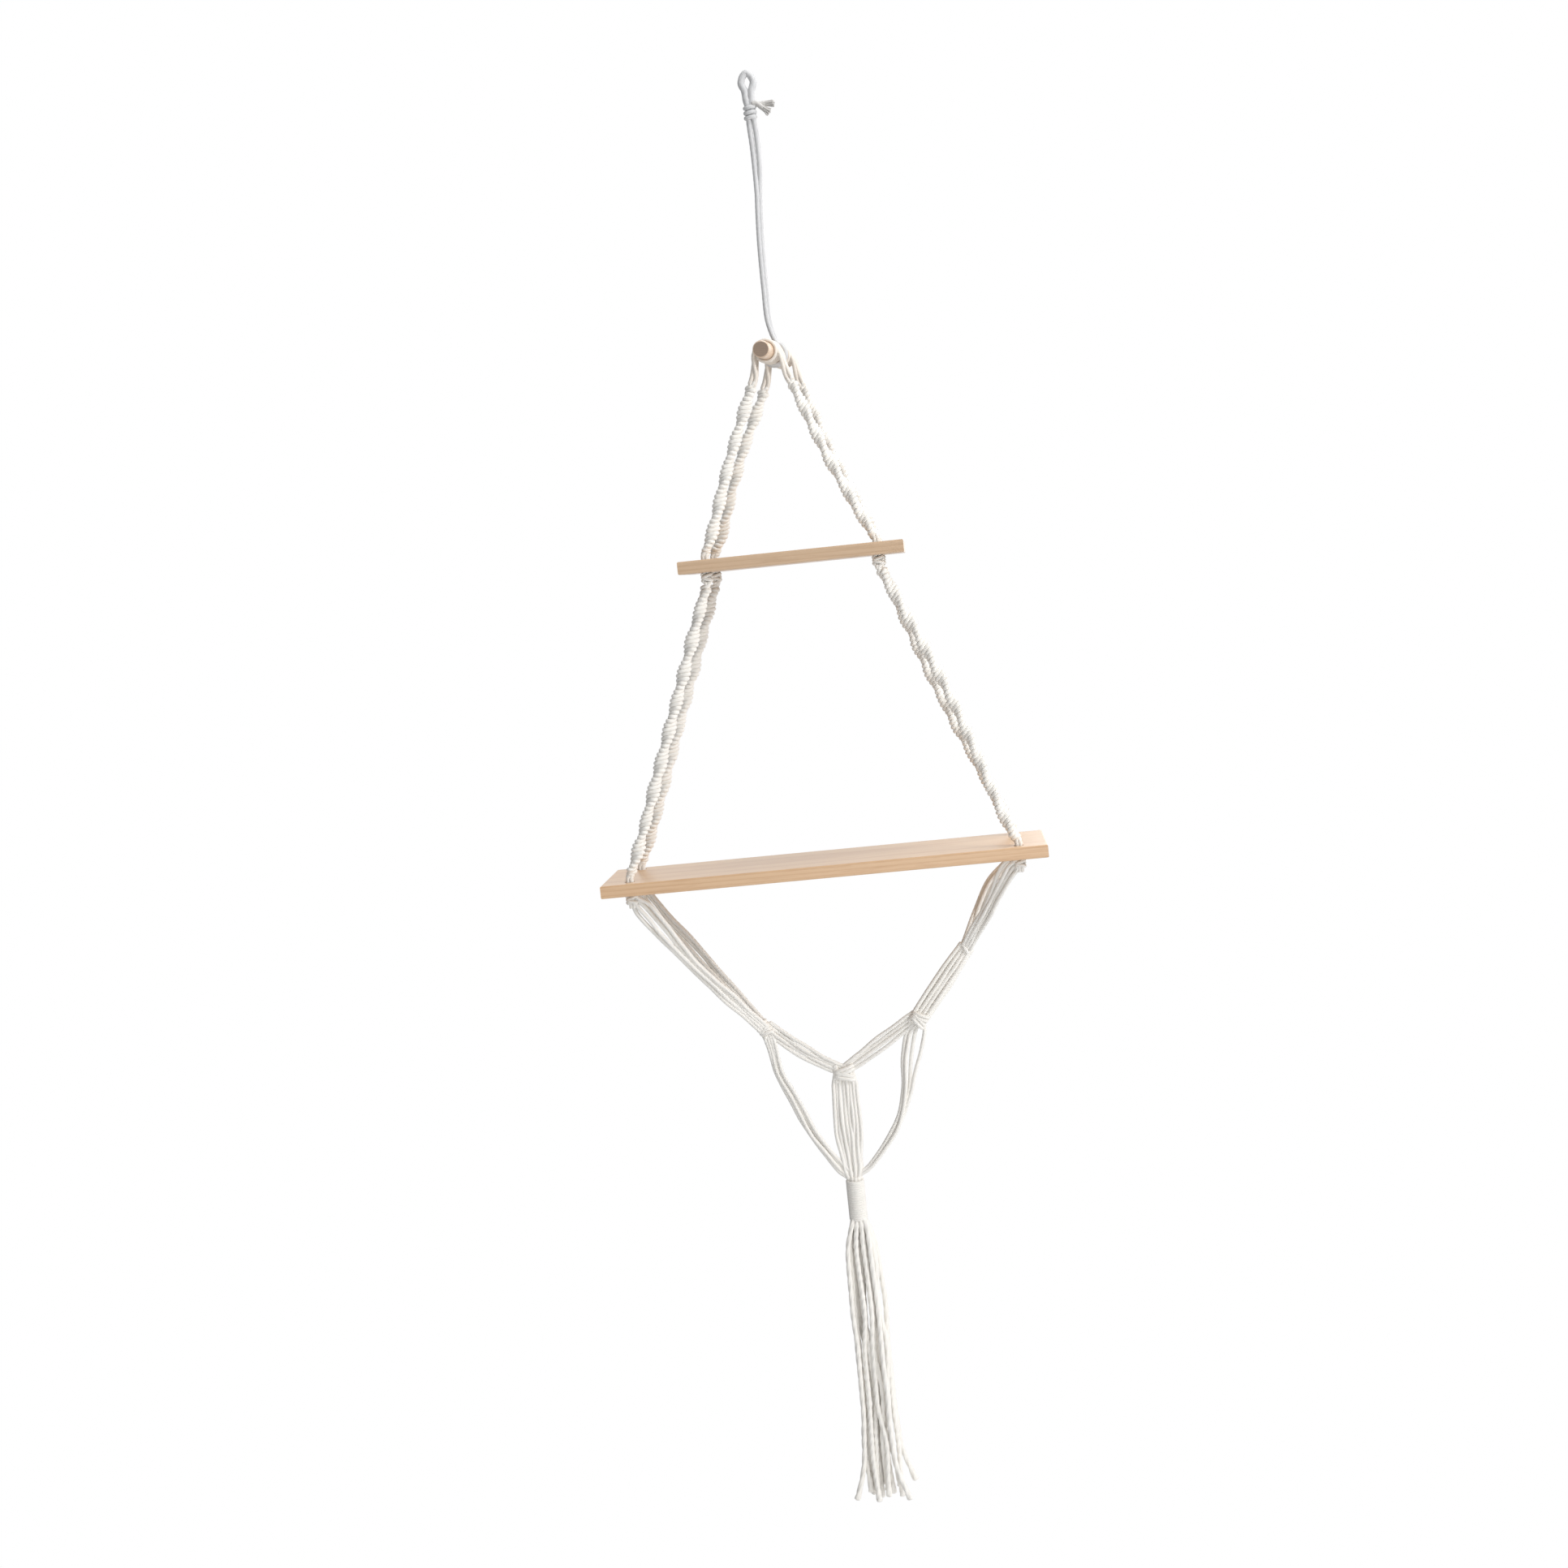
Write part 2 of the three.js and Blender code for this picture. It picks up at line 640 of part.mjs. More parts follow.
// Winding round the tassel's neck: one unbroken tube
function gatheringWrap() {
  const radius = neck_diameter / 2 + seat_gap + wrap_cord / 2;
  const stations = [];
  const outward = [];
  for (let i = 0; i <= wrap_turns * wrap_steps_per_turn; i += 1) {
    const turn = 2 * Math.PI * i / wrap_steps_per_turn;
    const drop = wrap_cord / 2 + wrap_pitch * i / wrap_steps_per_turn;
    outward.push(at(Math.cos(turn), Math.sin(turn), 0));
    stations.push(wrap_top.clone().addScaledVector(outward[i], radius).add(at(0, 0, -drop)));
  }
  console.log('gathering wrap, least gap to itself in mm:', leastGap(stations));
  return sweep(stations, wrap_cord, 6, outward);
}

// Least gap between places of the winding that are at least half a turn apart along it
function leastGap(stations) {
  let least = Infinity;
  for (let i = 0; i < stations.length; i += 1) {
    for (let j = i + wrap_steps_per_turn / 2; j < stations.length; j += 1) {
      least = Math.min(least, stations[i].distanceTo(stations[j]) - wrap_cord);
    }
  }
  return least.toFixed(2);
}

// Strands inside the wrap, with the bulge over it
function tasselNeck() {
  const top = wrap_top.z + 2 * seat_gap;
  const radius = neck_diameter / 2;
  const core = new THREE.CylinderGeometry(radius, radius, top - wrap_bottom.z, 16);
  core.rotateX(Math.PI / 2);
  core.translate(wrap_top.x, 0, (top + wrap_bottom.z) / 2);
  const above = block(
    wrap_top.clone().add(at(-2 * gather_ball, -2 * gather_ball, seat_gap)),
    wrap_top.clone().add(at(2 * gather_ball, 2 * gather_ball, 2 * gather_ball)));
  return geometryOf(solid(core).add(ball(gather_ball, wrap_top).intersect(above)));
}

// A quarter of the tassel: four loosened strands that hang from the wrap and splay
function tailBundle(side, end) {
  const pressed_out = (tail_strand + tail_pitch) / 2 + seat_gap;
  const routes = bundle_shares.map(([u, v], index) => {
    const x = wrap_bottom.x + side * pressed_out + u * tail_pitch;
    const y = end * pressed_out + v * tail_pitch;
    const route = [at(x, y, wrap_bottom.z - seat_gap), at(x, y, tail_bend.z)];
    for (const [share, spread_share] of tail_shares) {
      const spread = tail_spread * spread_share;
      const skew = spread * tail_skew_share * (end + v);
      route.push(at(
        wrap_bottom.x + spread * (side + u) * 2 / 3 + skew,
        spread * tail_depth_share * (end + v) * 2 / 3,
        tail_bend.z - share * (tail_length - index * tail_uneven)));
    }
    return route;
  });
  const bundle = joined(routes.map((route) => solid(tube(route, tail_strand, 6, 6))));
  const wide = 2 * tail_spread;
  const below = block(
    tail_bend.clone().add(at(-wide, -wide, -tail_length - overrun)),
    tail_bend.clone().add(at(wide, wide, 0)));
  return geometryOf(bundle.intersect(ball(tail_pivot - seat_gap, tail_bend).add(below)));
}

// Materials
function material(colour, roughness) {
  return new THREE.MeshStandardMaterial({ color: colour, roughness, metalness: 0 });
}

const part = new THREE.Group();

function add(name, geometry, colour, roughness, group = part) {
  const mesh = new THREE.Mesh(geometry, material(colour, roughness));
  mesh.name = name;
  group.add(mesh);
  return mesh;
}

const WOOD = '#d9b48c';
const DOWEL = '#c9a27a';
const COTTON = '#efe9dd';
const wood = (name, geometry) => add(name, geometry, WOOD, 0.6);
const cotton = (name, geometry) => add(name, geometry, COTTON, 0.95);

// Hanging cord
cotton('hanging_loop', hangingLoop());
cotton('hanging_knot', hangerKnot());
cotton('hanging_legs_upper', upperLegs());
cotton('hanging_legs_lower', lowerLegs());

// Dowel and the cords wound on it
const dowel = add('dowel', dowelRod(), DOWEL, 0.55);
dowel.position.copy(dowel_centre);
dowel.rotation.z = -dowel_turn;

const ends = { front: -1, back: 1 };
const sides = { left: -1, right: 1 };
for (const [end_name, end] of Object.entries(ends)) {
  for (let index = 0; index < cords_each_end; index += 1) {
    cotton(`${end_name}_cord_turn_${index + 1}`, woundCord(end, index));
  }
}

// Boards, ropes and stop knots
const upper_board = wood('upper_board', board(upper_board_length, upper_hole_out));
upper_board.position.set(-upper_board_left, 0, -upper_drop);
wood('lower_board', board(lower_board_length, lower_hole_out)).position.z = -lower_drop;
for (const [end_name, end] of Object.entries(ends)) {
  for (const [side_name, side] of Object.entries(sides)) {
    const corner = `${end_name}_${side_name}`;
    const [upper_bow, lower_bow] = rope_bows[corner];
    cotton(`${corner}_rope_upper`, upperRope(side, end, upper_bow));
    cotton(`${corner}_rope_lower`, lowerRope(side, end, lower_bow));
    const upper_stop = cotton(`${corner}_stop_knot_upper`, stopKnot());
    upper_stop.position.copy(upperHole(side, end)).setZ(knotTop(upper_drop));
    const lower_stop = cotton(`${corner}_stop_knot_lower`, stopKnot());
    lower_stop.position.copy(lowerHole(side, end)).setZ(knotTop(lower_drop));
  }
}

// Knots under the lower board, and the strands between them, which are cut to their surfaces
const left_along = at(lower_hole_out - left_knot_out, 0, -left_knot_drop);
const right_along = right_knot.clone().sub(neck_knot);
const lumps = (grow) => ({
  left: placedLump(side_knot_width, side_knot_depth, side_knot_length, grow, left_along, left_knot),
  neck: placedLump(neck_knot_width, neck_knot_width, neck_knot_width, grow, right_along, neck_knot),
  right: placedLump(
    right_knot_width, right_knot_depth, side_knot_length, grow, right_along, right_knot),
  centre: placedLump(centre_knot_width, side_knot_depth, side_knot_width, grow, UP, centre_knot),
});
const knots = lumps(0);
const rooms = lumps(seat_gap);
const gather_room = ball(gather_ball + 2 * seat_gap, wrap_top);
cotton('left_side_knot', geometryOf(knots.left));
cotton('right_neck_knot', geometryOf(knots.neck));
cotton('right_side_knot', geometryOf(knots.right));
cotton('centre_knot', geometryOf(knots.centre));

// The strands under the boards come in beside each other, front and back
const beside = at(0, (cord + seat_gap) / 2, 0);
for (const [end_name, end] of Object.entries(ends)) {
  const shift = beside.clone().multiplyScalar(end);
  const left_name = `${end_name}_left`;
  const left = boardStrands(-1, end, left_knot.clone().add(shift), board_bows[left_name]);
  cotton(`${left_name}_strands`, geometryOf(outside(left, [rooms.left])));
  const right_name = `${end_name}_right`;
  const right = boardStrands(1, end, neck_knot.clone().add(shift), board_bows[right_name]);
  cotton(`${right_name}_strands`, geometryOf(outside(right, [rooms.neck])));
}
const band = pressed([neck_knot, right_knot], 2, 4, cord, 20, 2);
cotton('right_band', geometryOf(outside(band, [rooms.neck, rooms.right])));

// Under each side knot the strands part: four to the centre knot, four to the tassel
const middle_pitch = THREE.MathUtils.lerp(centre_low_pitch, centre_top_pitch, end_share)
  + centre_spread * end_bow_share;
const middle_half = (centre_pairs - 1) / 2 * middle_pitch + fused_half;
const middle_room = block(
  wrap_top.clone().add(at(-middle_half - seat_gap, -loop_width, -gather_ball)),
  wrap_top.clone().add(at(middle_half + seat_gap, loop_width, knot_length)));
const pair_pitches = [fused_pitch, fused_pitch];
const side_knots = { left: [left_knot, -1, rooms.left], right: [right_knot, 1, rooms.right] };
for (const [side_name, [knot, side, room]] of Object.entries(side_knots)) {
  const to_centre = centre_knot.clone().sub(knot).normalize();
  const to_wrap = wrap_top.clone().sub(knot).normalize();
  const mean = to_centre.add(to_wrap).normalize();
  const parting = at(mean.z, 0, -mean.x).multiplyScalar(side * (fused_half + seat_gap));
  const inner_bow = at(0, 0, -inner_sag);
  const inner = swag(knot.clone().add(parting), centre_knot, 2, pair_pitches, inner_bow, inner_spread);
  cotton(`${side_name}_inner_swag`, geometryOf(outside(inner, [room, rooms.centre])));
  const aim = wrap_top.clone().add(at(side * cord, 0, 0));
  const outer_bow = at(side * outer_bows[side_name], 0, 0);
  const outer = swag(knot.clone().sub(parting), aim, 2, pair_pitches, outer_bow, outer_spread);
  cotton(`${side_name}_outer_swag`, geometryOf(outside(outer, [room, gather_room, middle_room])));
}
const centre_strands = swag(
  centre_knot, wrap_top, centre_pairs, [centre_top_pitch, centre_low_pitch], at(0, 0, 0), centre_spread);
cotton('centre_strands', geometryOf(outside(centre_strands, [rooms.centre, gather_room])));

// Tassel
cotton('gathering_wrap', gatheringWrap());
cotton('tassel_neck', tasselNeck());
for (const [end_name, end] of Object.entries(ends)) {
  for (const [side_name, side] of Object.entries(sides)) {
    cotton(`tassel_${end_name}_${side_name}`, tailBundle(side, end));
  }
}

export default part;
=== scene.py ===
from math import atan2, cos, pi, radians, sin, sqrt, tau

import bpy
import numpy as np
from mathutils import Matrix, Vector


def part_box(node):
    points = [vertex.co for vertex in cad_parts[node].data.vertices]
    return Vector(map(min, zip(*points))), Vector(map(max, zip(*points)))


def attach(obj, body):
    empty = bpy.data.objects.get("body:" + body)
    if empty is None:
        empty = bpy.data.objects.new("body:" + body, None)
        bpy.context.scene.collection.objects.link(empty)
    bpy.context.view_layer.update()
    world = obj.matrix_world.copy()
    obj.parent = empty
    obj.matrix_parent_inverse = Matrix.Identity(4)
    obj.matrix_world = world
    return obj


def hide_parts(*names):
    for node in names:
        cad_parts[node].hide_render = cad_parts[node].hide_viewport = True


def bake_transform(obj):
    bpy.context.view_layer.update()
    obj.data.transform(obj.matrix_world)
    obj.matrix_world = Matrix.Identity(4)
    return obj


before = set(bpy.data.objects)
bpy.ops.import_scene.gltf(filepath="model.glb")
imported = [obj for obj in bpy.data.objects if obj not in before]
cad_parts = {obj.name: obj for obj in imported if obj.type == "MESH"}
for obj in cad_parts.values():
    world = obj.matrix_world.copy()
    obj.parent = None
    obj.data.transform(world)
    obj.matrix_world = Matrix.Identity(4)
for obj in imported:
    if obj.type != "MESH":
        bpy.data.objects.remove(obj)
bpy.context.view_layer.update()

# A two-tier hanging shelf: wooden boards on four ropes of knotted cotton cord. Metres, X to the
# right, Y to the back, Z up, from the point where the hook bears on the inside of the loop.

# Cords
STRAND = 0.0039  # diameter of a strand where it hangs loose
TIGHT_CORD = 0.003  # and where it is pulled tight, on the dowel
HANGER_CORD = 0.0044  # diameter of the hanging cord
KNOT_CORD = 0.0044  # of a strand in a rope's knots
WRAP_CORD = 0.0025  # of the cord round the tassel's neck
PLIES = 3
PLY_RELIEF = 0.07  # depth of the grooves between the plies, next to the radius
PLY_LAY = 3.4  # length in which the plies turn once, in diameters
SIDES = 15  # of a cord's section, a multiple of PLIES
STEP = 0.0009  # between the rings of a cord
TONE_WAVE = 0.03  # length in which a cord's tone drifts, and how far
TONE_DRIFT = 0.14
FIBRE_STRETCH = 14  # how much longer than thick the threads of a cord look
ROUTE_STEP = 0.0005  # between the places of a rope's axis
SEAT_GAP = 0.0003  # between two pieces that touch
TURN_GAP = 0.00045  # between neighbouring turns of one cord

# Places from the CAD solids
LOOP_DROP = 0.02  # from the hook to the loop's throat
LEGS_MEET = 0.11  # and to where the two legs of the hanging cord cross
HOLE_IN_UPPER = 0.025  # from a board's end to its holes
HOLE_IN_LOWER = 0.0265
HOLE_IN_DEPTH = 0.017  # and from its front and back
DOWEL_LOW, DOWEL_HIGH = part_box("dowel")
DOWEL_CENTRE = np.array((DOWEL_LOW + DOWEL_HIGH) / 2)
DOWEL_RADIUS = (DOWEL_HIGH.z - DOWEL_LOW.z) / 2
DOWEL_TURN = radians(7.5)
UPPER_LOW, UPPER_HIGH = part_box("upper_board")
LOWER_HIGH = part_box("lower_board")[1]
UPPER_MIDDLE = (UPPER_LOW.x + UPPER_HIGH.x) / 2
UPPER_HOLE_OUT = (UPPER_HIGH.x - UPPER_LOW.x) / 2 - HOLE_IN_UPPER
LOWER_HOLE_OUT = LOWER_HIGH.x - HOLE_IN_LOWER
HOLE_BACK = UPPER_HIGH.y - HOLE_IN_DEPTH
THICK = UPPER_HIGH.z - UPPER_LOW.z
MIDDLE_SHARE = 0.45  # of the length of a strand or rope, where it bows most
END_SHARE = 0.15  # and where it has left the strands beside it

SIDE_NAMES = {"left": -1, "right": 1}
END_NAMES = {"front": -1, "back": 1}
CORNERS = [(f"{end_name}_{side_name}", side, end) for end_name, end in END_NAMES.items()
           for side_name, side in SIDE_NAMES.items()]

random = np.random.default_rng(11)


def at(x, y, z):
    """A place or a direction."""
    return np.array((x, y, z), float)


ACROSS = at(1, 0, 0)
DEEP = at(0, 1, 0)
UP = at(0, 0, 1)


def unit(vector):
    return vector / np.linalg.norm(vector)


def mixed(first, second, share):
    """What is at a share of the way from the first to the second."""
    return first + (second - first) * share


def smooth(share):
    """Eases from 0 to 1 as the share does, and stays there outside."""
    share = np.clip(share, 0, 1)
    return share * share * (3 - 2 * share)


# Routes

def curve_through(points, step):
    """Places at even steps along a centripetal Catmull-Rom curve through the points."""
    points = [np.asarray(point, float) for point in points]
    points = [2 * points[0] - points[1], *points, 2 * points[-1] - points[-2]]
    pieces = []
    for a, b, c, d in zip(points, points[1:], points[2:], points[3:]):
        ab, bc, cd = (max(np.linalg.norm(q - p), 1e-7) ** 0.5 for p, q in ((a, b), (b, c), (c, d)))
        leave = ((b - a) / ab - (c - a) / (ab + bc) + (c - b) / bc) * bc
        reach = ((c - b) / bc - (d - b) / (bc + cd) + (d - c) / cd) * bc
        count = int(np.linalg.norm(c - b) / step * 2) + 2
        t = np.linspace(0, 1, count, endpoint=False)[:, None]
        pieces.append((2 * t**3 - 3 * t**2 + 1) * b + (t**3 - 2 * t**2 + t) * leave
                      + (3 * t**2 - 2 * t**3) * c + (t**3 - t**2) * reach)
    return resampled(np.vstack([*pieces, points[-2][None]]), step)


def reach_along(path):
    """How far along the path each of its places is."""
    return np.concatenate([[0], np.cumsum(np.linalg.norm(np.diff(path, axis=0), axis=1))])


def resampled(path, step):
    """The same path with its places at even steps."""
    reach = reach_along(path)
    even = np.linspace(0, reach[-1], max(3, round(reach[-1] / step) + 1))
    return np.column_stack([np.interp(even, reach, path[:, k]) for k in range(3)])


def tangents(path):
    along = np.gradient(path, axis=0)
    return along / np.linalg.norm(along, axis=1)[:, None]


def square_to(along, reference):
    """Unit directions square to a path: the reference made square to it, and the third one."""
    first = reference - along * (along @ reference)[:, None]
    first /= np.linalg.norm(first, axis=1)[:, None]
    return first, np.cross(along, first)


def carried_frames(path):
    """Directions square to a path that never spin about it."""
    along = tangents(path)
    first = np.empty_like(along)
    facing = UP if abs(along[0][2]) < 0.8 else ACROSS
    for i, direction in enumerate(along):
        facing = facing - direction * facing.dot(direction)
        facing = facing / sqrt(facing.dot(facing))
        first[i] = facing
    return first, np.cross(along, first)


def wander(count, step, wave, size):
    """A slow random drift along a path: one number for each place."""
    knots = max(4, int(count * step / wave) + 3)
    values = random.normal(0, size, knots)
    x = np.linspace(0, knots - 1, count)
    low = np.floor(x).astype(int).clip(0, knots - 2)
    return values[low] + (values[low + 1] - values[low]) * smooth(x - low)


# Cords

def cord_rings(path, diameter, flare=None, lay=None, loose=None, relief=PLY_RELIEF):
    """Rings of one twisted cord, with its fibre places, grooves and tone. Flare says how thick it
    is at which distances from its far end, lay in what length its plies turn once, and loose how
    long its looser ends are and how many times thicker."""
    path = resampled(path, STEP)
    count = len(path)
    first, second = carried_frames(path)
    reach = reach_along(path)
    radius = np.full(count, diameter / 2)
    if flare is not None:
        radius *= np.interp(reach, reach[-1] - np.array(flare[0][::-1]), flare[1][::-1])
    if loose is not None:
        from_end = np.minimum(reach, reach[-1] - reach)
        radius *= 1 + (loose[1] - 1) * smooth(1 - from_end / loose[0])
    turn = random.uniform(0, tau) + tau * reach / (lay or PLY_LAY * diameter)
    column = np.arange(SIDES) * tau / SIDES
    groove = 1 - np.abs(np.cos(column * PLIES / 2))
    angle = turn[:, None] + column[None, :]
    away = radius[:, None] * (1 - relief * groove[None, :] ** 1.5)
    ring = (path[:, None, :]
            + first[:, None, :] * (away * np.cos(angle))[:, :, None]
            + second[:, None, :] * (away * np.sin(angle))[:, :, None])
    fibre = np.empty_like(ring)
    fibre[:, :, 0] = diameter / 2 * np.cos(column) + random.uniform(0, 1)
    fibre[:, :, 1] = diameter / 2 * np.sin(column)
    fibre[:, :, 2] = (reach / FIBRE_STRETCH)[:, None]
    tone = random.uniform(0.25, 0.75) + wander(count, STEP, TONE_WAVE, TONE_DRIFT)
    return ring, fibre, np.broadcast_to(groove, (count, SIDES)), np.repeat(tone, SIDES), path


END_RINGS = ((0.82, 0.25), (0.45, 0.45))  # width and rise of an end's rings, in radii of the cord
TIP_RISE = 0.52


def rounded_end(ring, outward):
    """Two smaller rings and a tip that close a cord's end."""
    centre = ring.mean(0)
    radius = np.linalg.norm(ring - centre, axis=1).mean()
    rings = [centre + (ring - centre) * share + outward * radius * rise
             for share, rise in END_RINGS]
    return rings, centre + outward * radius * TIP_RISE


def placed(name, data):
    """A new object in the scene."""
    thing = bpy.data.objects.new(name, data)
    bpy.context.scene.collection.objects.link(thing)
    return thing


class CordMesh:
    """Collects cords into one mesh with the attributes that its material reads."""

    def __init__(self):
        self.points, self.quads, self.triangles = [], [], []
        self.fibres, self.grooves, self.tones = [], [], []
        self.count = 0
        self.paths = []

    def add(self, path, diameter, **form):
        """One cord along a path, or through a list of points; form goes to cord_rings."""
        if isinstance(path, list):
            path = curve_through(path, STEP)
        ring, fibre, groove, tone, path = cord_rings(path, diameter, **form)
        along = tangents(path)
        low, low_tip = rounded_end(ring[0], -along[0])
        high, high_tip = rounded_end(ring[-1], along[-1])
        rows = np.concatenate([low[::-1], ring, high])
        fibre, groove, tone = (
            np.concatenate([values[:1], values[:1], values, values[-1:], values[-1:]])
            for values in (fibre, groove, tone.reshape(-1, SIDES)))
        count = len(rows)
        index = np.arange(count * SIDES).reshape(count, SIDES) + self.count
        beside = np.roll(index, -1, axis=1)
        self.quads.append(np.stack(
            [index[:-1], beside[:-1], beside[1:], index[1:]], axis=-1).reshape(-1, 4))
        tips = self.count + count * SIDES
        self.triangles += [np.stack([np.full(SIDES, tips), beside[0], index[0]], axis=-1),
                           np.stack([np.full(SIDES, tips + 1), index[-1], beside[-1]], axis=-1)]
        self.points += [rows.reshape(-1, 3), [low_tip], [high_tip]]
        self.fibres += [fibre.reshape(-1, 3), fibre[0][:1], fibre[-1][:1]]
        self.grooves += [groove.ravel(), [0], [0]]
        self.tones += [tone.ravel(), tone[0][:1], tone[-1][:1]]
        self.count = tips + 2
        self.paths.append(path)
        return self

    def piece(self, name, body, *nodes, material=None):
        """The mesh as a piece that stands for CAD nodes and may ride on a body."""
        faces = np.concatenate(self.quads).tolist() + np.concatenate(self.triangles).tolist()
        mesh = bpy.data.meshes.new(name)
        mesh.from_pydata(np.concatenate(self.points).tolist(), [], faces, shade_flat=False)
        for key, kind, field, values in (
                ("fibre", "FLOAT_VECTOR", "vector", self.fibres),
                ("groove", "FLOAT", "value", self.grooves), ("tone", "FLOAT", "value", self.tones)):
            layer = mesh.attributes.new(key, kind, "POINT")
            layer.data.foreach_set(field, np.concatenate(values).astype(np.float32).ravel())
        mesh.materials.append(material or COTTON)
        piece = placed(name, mesh)
        if body:
            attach(piece, body)
        if nodes:
            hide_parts(*nodes)
        return piece


# Materials

class Nodes:
    """Short names for building a material's or the world's nodes."""

    def __init__(self, owner):
        owner.use_nodes = True
        self.owner = owner
        self.tree = owner.node_tree
        self.shader = self.tree.nodes.get("Principled BSDF")

    def fill(self, node, inputs):
        """Links or sets some inputs of a node."""
        for key, value in dict(inputs).items():
            if isinstance(value, bpy.types.NodeSocket):
                self.tree.links.new(value, node.inputs[key])
            else:
                node.inputs[key].default_value = value

    def add(self, kind, inputs=(), output=0, **settings):
        """The output of a new node, with the kind as Blender names it after ShaderNode."""
        node = self.tree.nodes.new("ShaderNode" + kind)
        for key, value in settings.items():
            setattr(node, key, value)
        self.fill(node, inputs)
        return node.outputs[output]

    def math(self, operation, first, second=0.5):
        return self.add("Math", {0: first, 1: second}, operation=operation)

    def attribute(self, name, output):
        """What a mesh stores under a name."""
        return self.add("Attribute", (), output, attribute_name=name)

    def ramp(self, value, *stops):
        """Greys by value: each stop is a value and how light it is there."""
        grey = self.add("ValToRGB", {0: value})
        elements = grey.node.color_ramp.elements
        while len(elements) < len(stops):
            elements.new(0.5)
        for element, (place, light) in zip(elements, stops):
            element.position = place
            element.color = (light, light, light, 1)
        return grey

    def blend(self, share, first, second):
        return self.add("Mix", {0: share, 6: first, 7: second}, 2, data_type="RGBA")

    def noise(self, vector, scale, detail=3, roughness=0.55):
        return self.add("TexNoise", {
            "Vector": vector, "Scale": scale, "Detail": detail, "Roughness": roughness})

    def stretched(self, vector, scale):
        """A vector times a number for each axis."""
        return self.add("VectorMath", {0: vector, 1: scale}, operation="MULTIPLY")

    def coordinates(self, output="Object"):
        return self.add("TexCoord", (), output)

    def seen_directly(self):
        """1 where the camera sees a surface, also in a mirror or through glass, and else 0."""
        path = self.tree.nodes.new("ShaderNodeLightPath")
        return self.math("MAXIMUM", path.outputs["Is Camera Ray"], self.math(
            "MAXIMUM", path.outputs["Is Glossy Ray"], path.outputs["Is Transmission Ray"]))


def colour(*seen):
    """Linear values of a colour on the screen, from 11 to 255 in each channel."""
    return (*(((value / 255 + 0.055) / 1.055) ** 2.4 for value in seen), 1)


def patches(n, noise, low, high, share):
    """A share of a mix, where a noise is high."""
    return n.math("MULTIPLY", n.ramp(noise, (low, 0), (high, 1)), share)


def cotton_material(name, dark, light, between):
    """Matt cotton, dark to light by each cord's tone, with fine threads and painted shade in the
    grooves between the plies.
    """
    n = Nodes(bpy.data.materials.new(name))
    groove = n.attribute("groove", "Fac")
    threads = n.noise(n.attribute("fibre", "Vector"), 5200, roughness=0.6)
    lumps = n.noise(n.coordinates(), 160)
    base = n.blend(n.attribute("tone", "Fac"), dark, light)
    base = n.blend(n.ramp(lumps, (0.35, 0), (0.65, 1)), base, between)
    base = n.blend(patches(n, threads, 0.4, 0.62, 0.07), base, colour(206, 199, 188))
    # Painted shade: the grooves between the plies are darkened a little, as if shade fell into them
    base = n.blend(n.math("MULTIPLY", groove, 0.1), base, colour(200, 193, 184))
    bump = n.add("Bump", {"Height": threads, "Strength": 0.2, "Distance": 0.0003})
    n.fill(n.shader, {"Base Color": base, "Roughness": 0.92, "Specular IOR Level": 0.25,
                      "Sheen Weight": 0.25, "Sheen Roughness": 0.6, "Normal": bump})
    return n.owner


GRAIN_STRETCH = 0.06  # how fast the grain changes lengthwise, next to across
RING_DRIFT = 3.2  # how many rings the grain wanders across


def wood_material(name, light, dark, pore, end, along, heart, ring_width):
    """Wood with growth rings about a line and darker end grain. Heart is a place on the line, in
    the piece's own coordinates, and along the number of the axis that it follows."""
    n = Nodes(bpy.data.materials.new(name))
    place = n.coordinates()
    drawn = n.stretched(place, [GRAIN_STRETCH if axis == along else 1 for axis in range(3)])
    bent = n.noise(drawn, 9)
    moved = n.add("VectorMath", {0: place, 1: heart}, operation="SUBTRACT")
    across = n.stretched(moved, [0 if axis == along else 1 for axis in range(3)])
    away = n.add("VectorMath", {0: across}, output="Value", operation="LENGTH")
    rings = n.math("ADD", n.math("DIVIDE", away, ring_width), n.math("MULTIPLY", bent, RING_DRIFT))
    late = n.ramp(n.math("FRACT", rings), (0, 0), (0.55, 0.18), (0.9, 1), (1, 0))
    streaks = n.noise(drawn, 420, detail=4, roughness=0.65)
    shade = n.noise(drawn, 28)
    base = n.blend(n.math("MULTIPLY", late, 0.62), light, dark)
    base = n.blend(n.math("MULTIPLY", shade, 0.35), base, dark)
    base = n.blend(patches(n, streaks, 0.5, 0.72, 0.38), base, pore)
    facing = n.add("SeparateXYZ", {0: n.coordinates("Normal")}, output=along)
    end_share = n.math("POWER", n.math("ABSOLUTE", facing), 6)
    speckle = n.noise(place, 900, detail=2)
    end_colour = n.blend(n.math("MULTIPLY", late, 0.6), end, n.blend(speckle, end, pore))
    base = n.blend(end_share, base, end_colour)
    matt = n.add("MapRange", {"Value": streaks, "To Min": 0.24, "To Max": 0.38})
    height = n.math("ADD", n.math("MULTIPLY", streaks, -0.7), n.math("MULTIPLY", late, -0.3))
    bump = n.add("Bump", {"Height": height, "Strength": 0.35, "Distance": 0.0004})
    n.fill(n.shader, {"Base Color": base, "Roughness": matt, "Specular IOR Level": 0.8,
                      "Normal": bump})
    return n.owner


